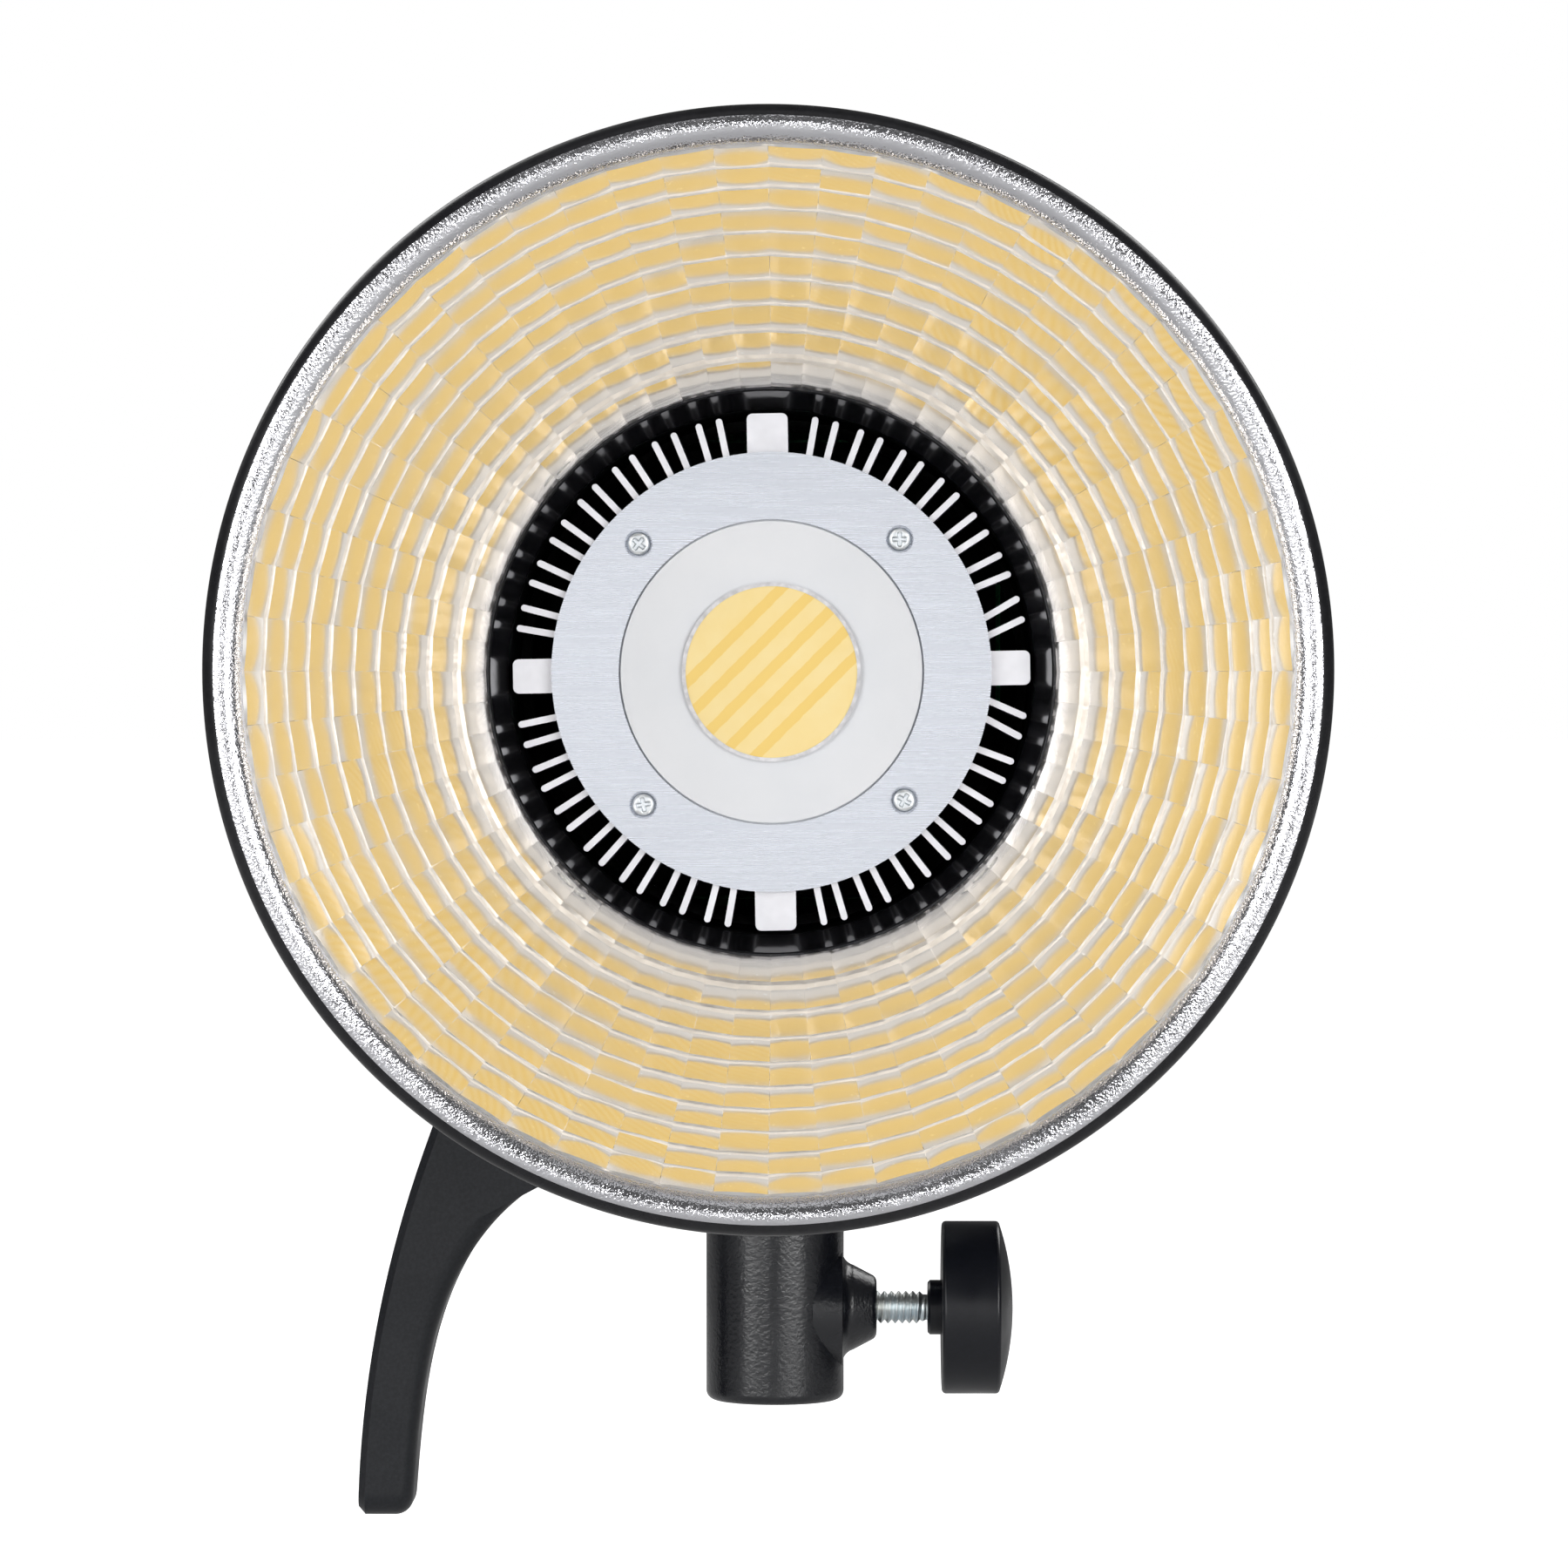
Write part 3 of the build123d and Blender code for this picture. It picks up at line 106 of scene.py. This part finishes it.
def principled(name, colour, roughness, metallic=0.0, **more):
    """A Principled material with its uniform values on the shader's own sockets."""
    material = bpy.data.materials.new(name)
    material.use_nodes = True
    tree = material.node_tree
    surface = tree.nodes["Principled BSDF"]
    surface.inputs["Base Color"].default_value = (*colour, 1)
    surface.inputs["Roughness"].default_value = roughness
    surface.inputs["Metallic"].default_value = metallic
    for socket, value in more.items():
        surface.inputs[socket.replace("_", " ")].default_value = value
    return material, tree, surface


def spots(tree, size, stretch=(1, 1, 1), detail=3.0, roughness=0.55):
    """Noise with spots of about this size in millimetres, in the piece's own coordinates."""
    place = add(tree, "TexCoord").outputs["Object"]
    scaled = add(tree, "Mapping", {"Vector": place, "Scale": stretch}).outputs["Vector"]
    noise = add(tree, "TexNoise", {"Vector": scaled, "Scale": 0.5 / (size * MM), "Detail": detail,
                                   "Roughness": roughness})
    return noise.outputs["Fac"]


def ramp(tree, value, low, high, to_low=0.0, to_high=1.0):
    """The value mapped from one range to another and clamped."""
    node = add(tree, "MapRange", {"Value": value, "From Min": low, "From Max": high,
                                  "To Min": to_low, "To Max": to_high})
    return node.outputs["Result"]


def blend_colours(tree, factor, first, second):
    """A mix of two colours, each a socket or a tuple."""
    node = add(tree, "Mix", data_type="RGBA")
    tree.links.new(factor, node.inputs["Factor"])
    for socket, colour in (("A", first), ("B", second)):
        target = [i for i in node.inputs if i.name == socket and i.type == "RGBA"][0]
        if isinstance(colour, bpy.types.NodeSocket):
            tree.links.new(colour, target)
        else:
            target.default_value = (*colour, 1)
    return [o for o in node.outputs if o.type == "RGBA"][0]


def bumped(tree, surface, height, depth):
    """Bump of this depth in millimetres from a height socket, on top of any bump already there."""
    node = add(tree, "Bump", {"Height": height, "Distance": depth * MM, "Strength": 1.0})
    old = surface.inputs["Normal"].links
    if old:
        tree.links.new(old[0].from_socket, node.inputs["Normal"])
    tree.links.new(node.outputs["Normal"], surface.inputs["Normal"])


# ============================================================ materials
def black_paint(name, colour, roughness, grain, depth, spread=0.08, shine=0.3, **more):
    """Black paint or plastic with a grain and slightly uneven gloss."""
    material, tree, surface = principled(name, colour, roughness, Specular_IOR_Level=shine, **more)
    fine = spots(tree, grain, detail=2.0)
    bumped(tree, surface, fine, depth)
    cloud = spots(tree, 9.0, detail=2.0)
    low, high = roughness - spread, roughness + spread
    tree.links.new(ramp(tree, cloud, 0.35, 0.65, low, high), surface.inputs["Roughness"])
    lighter = tuple(c * 1.5 for c in colour)
    tree.links.new(blend_colours(tree, ramp(tree, fine, 0.35, 0.7), colour, lighter),
                   surface.inputs["Base Color"])
    return material


def metal(name, colour, roughness, grain, stretch=(1, 1, 1), depth=0.004, metallic=1.0,
          tint=None, spread=0.08, cloud_size=3.0, cloud_stretch=(1, 1, 1)):
    """Bare or plated metal with fine marks, stretched along the way it was worked."""
    material, tree, surface = principled(name, colour, roughness, metallic)
    marks = spots(tree, grain, stretch, detail=4.0)
    bumped(tree, surface, marks, depth)
    tree.links.new(ramp(tree, marks, 0.35, 0.65, roughness - spread, roughness + spread),
                   surface.inputs["Roughness"])
    cloud = spots(tree, cloud_size, cloud_stretch, detail=2.0)
    second = tint or tuple(0.9 * c for c in colour)
    tree.links.new(blend_colours(tree, ramp(tree, cloud, 0.35, 0.65), colour, second),
                   surface.inputs["Base Color"])
    return material


def facet_silver():
    """Bright anodised facets: nearly a mirror, with a faint haze and pin-prick marks."""
    silver = (0.87, 0.81, 0.73)
    material, tree, surface = principled("facet_silver", silver, 0.1, 1.0)
    haze = spots(tree, 14.0, detail=3.0)
    tree.links.new(ramp(tree, haze, 0.35, 0.7, 0.08, 0.14), surface.inputs["Roughness"])
    bumped(tree, surface, spots(tree, 1.6, detail=3.0), 0.004)
    marks = spots(tree, 0.5, detail=1.0)
    pricked = ramp(tree, marks, 0.70, 0.76)
    tree.links.new(blend_colours(tree, pricked, silver, (0.97, 0.95, 0.9)), surface.inputs["Base Color"])
    return material


def lip_silver():
    """Orange-peel silver of the rolled edge."""
    material, tree, surface = principled("lip_silver", (0.62, 0.62, 0.65), 0.16, 1.0)
    bumped(tree, surface, spots(tree, 0.24, detail=1.0), 0.13)
    cloud = spots(tree, 5.0)
    tree.links.new(ramp(tree, cloud, 0.35, 0.65, 0.12, 0.22), surface.inputs["Roughness"])
    return material


def phosphor():
    """Yellow silicone with the diagonal rows of chips showing through."""
    material, tree, surface = principled("phosphor", (0.80, 0.64, 0.31), 0.14)
    place = add(tree, "SeparateXYZ", {"Vector": add(tree, "TexCoord").outputs["Object"]})
    height = add(tree, "Math", {0: place.outputs["Z"], 1: AXIS_Z * MM}, operation="SUBTRACT")
    slant = add(tree, "Math", {0: place.outputs["X"], 1: height.outputs[0]}, operation="SUBTRACT")
    along = add(tree, "Math", {0: slant.outputs[0], 1: math.sqrt(0.5)}, operation="MULTIPLY")
    shifted = add(tree, "Math", {0: along.outputs[0], 1: 0.4 * MM}, operation="ADD")
    row = add(tree, "Math", {0: shifted.outputs[0], 1: 2.48 * MM}, operation="PINGPONG").outputs[0]
    wavy = add(tree, "Math", {0: row, 1: ramp(tree, spots(tree, 1.2), 0.0, 1.0, -0.25 * MM, 0.25 * MM)},
               operation="ADD").outputs[0]
    band = ramp(tree, wavy, 0.95 * MM, 1.1 * MM, 1, 0)
    distance = add(tree, "Math", {0: shifted.outputs[0]}, operation="ABSOLUTE").outputs[0]
    inside = ramp(tree, distance, 11.6 * MM, 11.9 * MM, 1, 0)
    band = add(tree, "Math", {0: band, 1: inside}, operation="MULTIPLY").outputs[0]
    pale, deep = (0.82, 0.67, 0.34), (0.79, 0.57, 0.185)
    cloud = ramp(tree, spots(tree, 4.0), 0.3, 0.7, 0, 0.35)
    base = blend_colours(tree, cloud, pale, deep)
    tree.links.new(blend_colours(tree, band, base, deep), surface.inputs["Base Color"])
    bumped(tree, surface, spots(tree, 2.5, detail=1.0), 0.02)
    return material


def circuit_green():
    """Solder mask with faint copper tracks."""
    material, tree, surface = principled("circuit_green", (0.02, 0.16, 0.07), 0.35)
    place = add(tree, "TexCoord").outputs["Object"]
    tracks = add(tree, "TexBrick", {"Vector": place, "Scale": 160.0, "Mortar Size": 0.06}).outputs["Fac"]
    tree.links.new(blend_colours(tree, tracks, (0.02, 0.16, 0.07), (0.05, 0.27, 0.12)),
                   surface.inputs["Base Color"])
    bumped(tree, surface, tracks, 0.03)
    return material


def make_looks():
    """One procedural material for each of the record's slots, and the extra ones of new pieces."""
    along_y = (1, 0.04, 1)  # marks drawn out along Y
    along_x = (0.012, 1, 1)
    looks = {
        "black_cast": black_paint("black_cast", (0.005, 0.0055, 0.0075), 0.27, 0.42, 0.085, shine=0.6),
        "black_moulded": black_paint("black_moulded", (0.011, 0.012, 0.0145), 0.4, 0.35, 0.008),
        "black_knob": black_paint("black_knob", (0.003, 0.0035, 0.006), 0.34, 0.3, 0.004, shine=0.4),
        "casing_black": black_paint("casing_black", (0.013, 0.0135, 0.0155), 0.45, 0.45, 0.03),
        "ring_black": black_paint("ring_black", (0.008, 0.008, 0.009), 0.3, 0.8, 0.006),
        "gloss_black": black_paint("gloss_black", (0.005, 0.005, 0.006), 0.16, 2.5, 0.02, 0.05),
        "rocker": black_paint("rocker", (0.012, 0.012, 0.013), 0.22, 1.0, 0.004, 0.05),
        "button_grey": black_paint("button_grey", (0.05, 0.052, 0.056), 0.55, 0.4, 0.02),
        "ferrite": black_paint("ferrite", (0.03, 0.03, 0.03), 0.5, 0.6, 0.04),
        "fibre": black_paint("fibre", (0.12, 0.075, 0.045), 0.7, 0.4, 0.03),
        "pad_grey": black_paint("pad_grey", (0.16, 0.165, 0.175), 0.6, 0.5, 0.02),
        "dam_grey": black_paint("dam_grey", (0.45, 0.45, 0.47), 0.4, 1.0, 0.01),
        "capacitor_blue": black_paint("capacitor_blue", (0.02, 0.03, 0.11), 0.25, 2.0, 0.006, 0.05),
        "window": black_paint("window", (0.008, 0.009, 0.011), 0.1, 4.0, 0.002, 0.03),
        "zinc_steel": metal("zinc_steel", (0.68, 0.77, 0.82), 0.4, 0.3, depth=0.0015,
                            tint=(0.76, 0.78, 0.76)),
        "rivet": metal("rivet", (0.72, 0.73, 0.75), 0.35, 0.5),
        "bare_aluminium": metal("bare_aluminium", (0.83, 0.83, 0.87), 0.4, 0.35, along_y, 0.006, 0.5),
        "plate_silver": metal("plate_silver", (0.73, 0.765, 0.84), 0.27, 0.14, along_x, 0.0002, 0.55,
                              spread=0.012, tint=(0.72, 0.757, 0.835),
                              cloud_size=0.25, cloud_stretch=(0.01, 1, 1)),
        "brass": metal("brass", (0.78, 0.58, 0.26), 0.3, 0.5),
        "facets": facet_silver(),
        "facet_edges": metal("facet_edges", (0.84, 0.83, 0.82), 0.45, 0.4),
        "screw_zinc": metal("screw_zinc", (0.70, 0.73, 0.76), 0.42, 0.25, depth=0.001,
                            tint=(0.62, 0.65, 0.67)),
        "lip": lip_silver(),
        "phosphor": phosphor(),
        "board_green": circuit_green(),
    }
    looks["reflector_silver"] = looks["facets"]
    ceramic, tree, surface = principled("white_ceramic", (0.68, 0.70, 0.73), 0.14)
    tree.links.new(blend_colours(tree, ramp(tree, spots(tree, 12.0), 0.3, 0.7), (0.70, 0.715, 0.745),
                                 (0.66, 0.68, 0.715)), surface.inputs["Base Color"])
    bumped(tree, surface, spots(tree, 0.6), 0.004)
    looks["white_ceramic"] = ceramic
    lcd, tree, surface = principled("display", (0.05, 0.09, 0.14), 0.2)
    cells = add(tree, "TexChecker", {"Vector": add(tree, "TexCoord").outputs["Object"], "Scale": 1500.0})
    tree.links.new(blend_colours(tree, cells.outputs["Fac"], (0.045, 0.085, 0.13), (0.06, 0.10, 0.15)),
                   surface.inputs["Base Color"])
    looks["display"] = lcd
    looks["bowl_black"] = black_paint("bowl_black", (0.009, 0.009, 0.0105), 0.33, 0.7, 0.01)
    return looks


def dress_frame(looks):
    """Gives every CAD node the material of its slot."""
    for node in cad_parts.values():
        for slot in node.material_slots:
            slot.material = looks[slot.material.name.split(".")[0]]


# ============================================================ mesh helpers
def skin(name, rows, materials, material_at=None, hard_rows=(), hard_column=None, closed=True):
    """A closed skin: rows of points joined side by side, the last row joined to the first or capped.

    material_at(row, column) gives the material number of the face there, hard_rows are rows with a
    crease along them, and hard_column(row, column) says whether the edge up to the next row is one."""
    mesh = bpy.data.meshes.new(name)
    shape = bmesh.new()
    made = [[shape.verts.new(p) for p in row] for row in rows]
    count, width = len(rows), len(rows[0])
    if not closed:
        shape.faces.new(made[0])
        shape.faces.new(made[-1])
    for i in range(count if closed else count - 1):
        for j in range(width):
            near, far = made[i], made[(i + 1) % count]
            after = (j + 1) % width
            face = shape.faces.new((near[j], near[after], far[after], far[j]))
            face.material_index = material_at(i, j) if material_at else 0
            face.smooth = True
    for i in hard_rows:
        for j in range(width):
            shape.edges.get((made[i][j], made[i][(j + 1) % width])).smooth = False
    if hard_column:
        for i in range(count):
            for j in range(width):
                if hard_column(i, j):
                    shape.edges.get((made[i][j], made[(i + 1) % count][j])).smooth = False
    bmesh.ops.recalc_face_normals(shape, faces=shape.faces)
    shape.to_mesh(mesh)
    shape.free()
    for material in materials:
        mesh.materials.append(material)
    piece = bpy.data.objects.new(name, mesh)
    bpy.context.scene.collection.objects.link(piece)
    return piece


def joined(name, pieces):
    """One piece made of several, whose materials are the first one's."""
    shape = bmesh.new()
    for part in pieces:
        shape.from_mesh(part.data)
    mesh = bpy.data.meshes.new(name)
    shape.to_mesh(mesh)
    shape.free()
    for material in pieces[0].data.materials:
        mesh.materials.append(material)
    for part in pieces:
        bpy.data.objects.remove(part)
    piece = bpy.data.objects.new(name, mesh)
    bpy.context.scene.collection.objects.link(piece)
    return piece


def round_axis(forward, radius, angle):
    """Point of the head at this distance forward, radius and angle from +X, in metres."""
    return Vector((radius * math.cos(angle), -forward, AXIS_Z + radius * math.sin(angle))) * MM


# ============================================================ reflector
def bowl_slope(radius):
    """Unit vectors (forward, radius) along the parabola outwards, and square to it inwards."""
    m = radius / (2 * FOCAL)
    length = math.sqrt(1 + m * m)
    return (m / length, 1 / length), (1 / length, -m / length)


def facet_profile(ring):
    """Mesh rows of one ring: forward, radius and height over the parabola.

    Each facet bulges a little into the bowl: its inner end throws the view past the near edge of
    the light source, and its outer end to the source's far side."""
    step = (FACETS_END_F - (LED_F - FOCAL + THROAT_R**2 / (4 * FOCAL))) / RINGS
    start = FACETS_END_F - (RINGS - ring) * step
    aim_in = 24 + 24 * 0.55**ring
    aim_out = -14.5 + 28 * 0.5**ring
    rows, height = [], 0.0
    for i in range(FACET_ROWS + 1):
        part = i / FACET_ROWS
        forward = start + part * step
        radius = math.sqrt(4 * FOCAL * (forward - LED_F + FOCAL))
        along, inward = bowl_slope(radius)
        viewer = Vector((RIM_F + VIEW_DISTANCE - forward, -radius)).normalized()
        aim = Vector((LED_F - forward, aim_in + (aim_out - aim_in) * part - radius)).normalized()
        wanted = viewer + aim
        rise = -wanted.dot(Vector(along)) / wanted.dot(Vector(inward))
        rows.append([forward, radius, rise])
    for i, row in enumerate(rows):
        if i:
            before = rows[i - 1]
            run = math.hypot(row[0] - before[0], row[1] - before[1])
            height += run * (row[2] + last_rise) / 2
        last_rise = row[2]
        row[2] = height
    middle = rows[-1][2] / 2
    return [(f, r, h - middle) for f, r, h in rows]


def make_reflector(looks):
    """Pressed bowl: pillow facets in rings and columns, a rolled orange-peel edge and a neck flange."""
    across = FACET_COLUMNS + 1  # points across one facet
    half = math.pi / COLUMNS
    parts = [j / FACET_COLUMNS for j in range(across)]
    angles = [2 * math.pi * (k + 0.5) / COLUMNS + (2 * part - 1) * half * (1 - GROOVE)
              for k in range(COLUMNS) for part in parts]
    rows, plain, hard = [], [], []
    chance = random.Random(7)
    for ring in range(RINGS):
        bulge = OUTER_CROWN if ring == RINGS - 1 else CROWN
        crowns = [bulge + chance.uniform(-CROWN_SPREAD, CROWN_SPREAD) for k in range(COLUMNS)]
        tilts = [chance.uniform(-TILT_SPREAD, TILT_SPREAD) for k in range(COLUMNS)]
        twists = [chance.uniform(-TWIST_SPREAD, TWIST_SPREAD) for k in range(COLUMNS)]
        hard.append(len(rows))
        for i, (forward, radius, height) in enumerate(facet_profile(ring)):
            inward = bowl_slope(radius)[1]
            row = []
            for k in range(COLUMNS):
                for part in parts:
                    turn = (part * 2 - 1) * half
                    uneven = tilts[k] * (i / FACET_ROWS - 0.5) + twists[k] * (part - 0.5)
                    crown = crowns[k] * radius * (half**2 - turn**2) / 2 * -inward[1]
                    lift = height + uneven + crown
                    row.append(round_axis(forward + lift * inward[0], radius + lift * inward[1],
                                          angles[len(row)]))
            rows.append(row)
        hard.append(len(rows) - 1)
    facet_rows = len(rows)

    def ring_row(forward, radius, material):
        rows.append([round_axis(forward, radius, angle) for angle in angles])
        plain.append(material)

    bead_f, bead_r = RIM_F - BEAD_R, RIM_R - BEAD_R
    hard.append(len(rows))
    for i in range(BEAD_ROWS + 1):
        angle = math.radians(BEAD_START + (BEAD_END - BEAD_START) * i / BEAD_ROWS)
        silver = math.cos(angle) < BARE_COS and math.sin(angle) > BARE_SIN
        ring_row(bead_f + BEAD_R * math.sin(angle), bead_r + BEAD_R * math.cos(angle), 1 if silver else 2)
    hard.append(len(rows) - 1)
    for i in range(BACK_ROWS + 1):
        radius = BACK_OUTER_R + (BACK_INNER_R - BACK_OUTER_R) * i / BACK_ROWS
        inward = bowl_slope(radius)[1]
        forward = LED_F - FOCAL + radius**2 / (4 * FOCAL)
        ring_row(forward - SHEET * inward[0], radius - SHEET * inward[1], 2)
    for radius, forward in ((FLANGE_R, NECK_F + 1.1), (FLANGE_R, NECK_F), (THROAT_R, NECK_F)):
        hard.append(len(rows))
        ring_row(forward, radius, 2)

    def material_at(i, j):
        if i >= facet_rows:
            return plain[i - facet_rows]
        ring_end = i % (FACET_ROWS + 1) == FACET_ROWS
        return 3 if ring_end else 0

    def between_facets(i, j):
        return i < facet_rows - 1 and j % across in (0, FACET_COLUMNS)

    materials = [looks["facets"], looks["lip"], looks["bowl_black"], looks["facet_edges"]]
    piece = skin("reflector_shell", rows, materials, material_at, hard, between_facets)
    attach(piece, "reflector")
    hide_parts("reflector_bowl")
    return piece


# ============================================================ cover plate screws
def make_plate_screws(looks):
    """Pan-head screws of the cover plate, with cross recesses."""
    low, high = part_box("cover_plate_screws")
    front, tip = -low.y / MM, -high.y / MM
    profile = [(front, 0.02 + 0.115 * i) for i in range(14)]  # the face, out to where the dome falls away
    profile += [(front - 0.12, 1.85), (front - 0.32, 2.15), (front - 0.6, 2.32), (front - 1.4, HEAD_R)]
    profile += [(front - 1.4, 1.5), (tip + 0.8, 1.5), (tip, 0.9), (tip, 0.02)]
    heads = []
    for k in range(4):
        away = math.radians(45 + 90 * k) + MODULE_TURN
        middle = (SCREW_SQUARE * math.cos(away), SCREW_SQUARE * math.sin(away))
        rows = []
        for forward, radius in profile:
            row = []
            for j in range(HEAD_SIDES):
                turn = 2 * math.pi * j / HEAD_SIDES
                arm = turn + 0.7 * k
                narrow = min(abs(radius * math.cos(arm)), abs(radius * math.sin(arm)))
                sunk = min(1, max(0, (0.48 - narrow) / 0.2)) * min(1, max(0, (1.5 - radius) / 0.2))
                depth = 0.8 * sunk if forward == front else 0
                row.append(Vector((middle[0] + radius * math.cos(turn), depth - forward,
                                   AXIS_Z + middle[1] + radius * math.sin(turn))) * MM)
            rows.append(row)
        heads.append(skin(f"plate_screw_{k}", rows, [looks["screw_zinc"]]))
    piece = joined("plate_screws", heads)
    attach(piece, "head")
    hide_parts("cover_plate_screws")
    return piece


# ============================================================ clamp screw
def make_thread(looks):
    """Rolled rod with a real helical thread."""
    pitch, crest, root = 1.5, 3.45, 2.72
    sides, turn_rows = 48, 12
    tip, end, plain = screw_low.x / MM, screw_high.x / MM, 31.6
    rows = []

    def add_row(x, radius_at):
        points = []
        for j in range(sides):
            angle = 2 * math.pi * j / sides
            radius = radius_at(angle)
            points.append(Vector((x, radius * math.sin(angle), CLAMP_Z + radius * math.cos(angle))) * MM)
        rows.append(points)

    add_row(tip, lambda angle: 0.05)
    add_row(tip, lambda angle: root - 0.5)
    count = int((plain - tip) / pitch * turn_rows)
    for i in range(count + 1):
        x = tip + 0.5 + i * pitch / turn_rows
        fade = min(1.0, i / turn_rows, (count - i) / turn_rows)

        def threaded(angle, x=x, fade=fade):
            phase = (x / pitch - angle / (2 * math.pi)) % 1
            wave = 1 - abs(2 * phase - 1)
            return root + (crest - root) * min(1, max(0, wave * 1.25 - 0.1)) * fade

        add_row(x, threaded)
    add_row(x + 0.1, lambda angle: root)
    add_row(end, lambda angle: root)
    add_row(end, lambda angle: 0.05)
    piece = skin("clamp_rod", rows, [looks["zinc_steel"]])
    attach(piece, "clamp_screw")
    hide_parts("clamp_screw")
    return piece


# ============================================================ release spring
def make_release_spring(looks):
    """Coil spring behind the release slider."""
    low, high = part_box("release_spring")
    wire, coils, steps, ring_sides = 0.22, 5, 24, 10
    radius = (high.x - low.x) / 2 / MM - wire
    middle_z = (low.z + high.z) / 2 / MM
    front, back = -low.y / MM - wire, -high.y / MM + wire
    rows = []
    count = coils * steps
    for i in range(count + 1):
        turn = 2 * math.pi * i / steps
        eased = min(1, max(0, (i - steps) / (count - 2 * steps)))  # a closed coil at each end
        spread = wire * 1.1 * (min(i, steps) - min(count - i, steps) + steps) / steps
        along = back + (front - back - 2.2 * wire) * eased + spread
        out = Vector((math.cos(turn), 0, math.sin(turn)))
        row = []
        for j in range(ring_sides):
            side = 2 * math.pi * j / ring_sides
            across = out * (radius + wire * math.cos(side))
            row.append((across + Vector((0, wire * math.sin(side) - along, middle_z))) * MM)
        rows.append(row)
    piece = skin("release_coil", rows, [looks["zinc_steel"]], closed=False)
    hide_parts("release_spring")
    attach(piece, "head")
    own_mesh(piece)
    return piece


# ============================================================ studio
def softbox(name, azimuth, elevation, distance, width, height, power):
    """A soft area light aimed at the head. Azimuth 0 is straight in front, positive to the right."""
    target = Vector((0, 0, AXIS_Z * MM))
    turn, lift = math.radians(azimuth), math.radians(elevation)
    way = Vector((math.sin(turn) * math.cos(lift), -math.cos(turn) * math.cos(lift), math.sin(lift)))
    lamp = bpy.data.lights.new(name, "AREA")
    lamp.shape = "RECTANGLE"
    lamp.size, lamp.size_y = width, height
    lamp.energy = power
    holder = bpy.data.objects.new(name, lamp)
    holder.location = target + way * distance
    holder.rotation_euler = way.to_track_quat("Z", "Y").to_euler()
    holder.visible_camera = False
    bpy.context.scene.collection.objects.link(holder)


def make_studio():
    """Pale floor, white surroundings, and soft boxes in front, above and behind."""
    floor_mesh = bpy.data.meshes.new("floor")
    reach, depth = 40.0, -0.16  # metres
    corners = [(x * reach, y * reach, depth) for x, y in ((-1, -1), (1, -1), (1, 1), (-1, 1))]
    floor_mesh.from_pydata(corners, [], [(0, 1, 2, 3)])
    floor = bpy.data.objects.new("floor", floor_mesh)
    bpy.context.scene.collection.objects.link(floor)
    paper, tree, surface = principled("floor_paper", (0.82, 0.82, 0.82), 0.9)
    surface.inputs["Emission Color"].default_value = (1, 1, 1, 1)
    seen = add(tree, "LightPath").outputs["Is Camera Ray"]
    tree.links.new(add(tree, "Math", {0: seen, 1: 0.95}, operation="MULTIPLY").outputs[0],
                   surface.inputs["Emission Strength"])
    floor_mesh.materials.append(paper)

    world = bpy.data.worlds.new("studio")
    world.use_nodes = True
    tree = world.node_tree
    tree.nodes["Background"].inputs["Color"].default_value = (1, 1, 1, 1)
    strength = ramp(tree, add(tree, "LightPath").outputs["Is Camera Ray"], 0, 1, 0.12, 1.0)
    tree.links.new(strength, tree.nodes["Background"].inputs["Strength"])
    bpy.context.scene.world = world

    softbox("left_box", -40, 9, 2.0, 0.85, 1.1, 15)
    softbox("right_box", 35, 9, 2.0, 0.85, 1.1, 15)
    softbox("front_left", -16, 2, 2.2, 0.5, 0.45, 4.6)
    softbox("front_right", 16, 2, 2.2, 0.5, 0.45, 4.6)
    softbox("top_fill", 0, 62, 2.2, 1.6, 1.0, 3)
    softbox("back_left", -140, 35, 2.4, 1.2, 1.2, 14)
    softbox("back_right", 140, 35, 2.4, 1.2, 1.2, 14)


def make_camera():
    """Long lens in front of the rim, a little right of the axis and below it."""
    camera_data = bpy.data.cameras.new("camera")
    camera_data.lens = 149.0
    camera_data.sensor_width = 36.0
    camera_data.clip_end = 100.0
    camera = bpy.data.objects.new("camera", camera_data)
    camera.location = Vector((10.4, -(RIM_F + VIEW_DISTANCE), AXIS_Z - 3.8)) * MM
    target = Vector((3.0, -RIM_F, AXIS_Z - 20.95)) * MM
    camera.rotation_euler = (target - camera.location).to_track_quat("-Z", "Y").to_euler()
    bpy.context.scene.collection.objects.link(camera)
    bpy.context.scene.camera = camera
    bpy.context.scene.view_settings.view_transform = "Standard"


looks = make_looks()
dress_frame(looks)
make_reflector(looks)
make_plate_screws(looks)
make_thread(looks)
make_release_spring(looks)
make_studio()
make_camera()

bpy.context.view_layer.update()
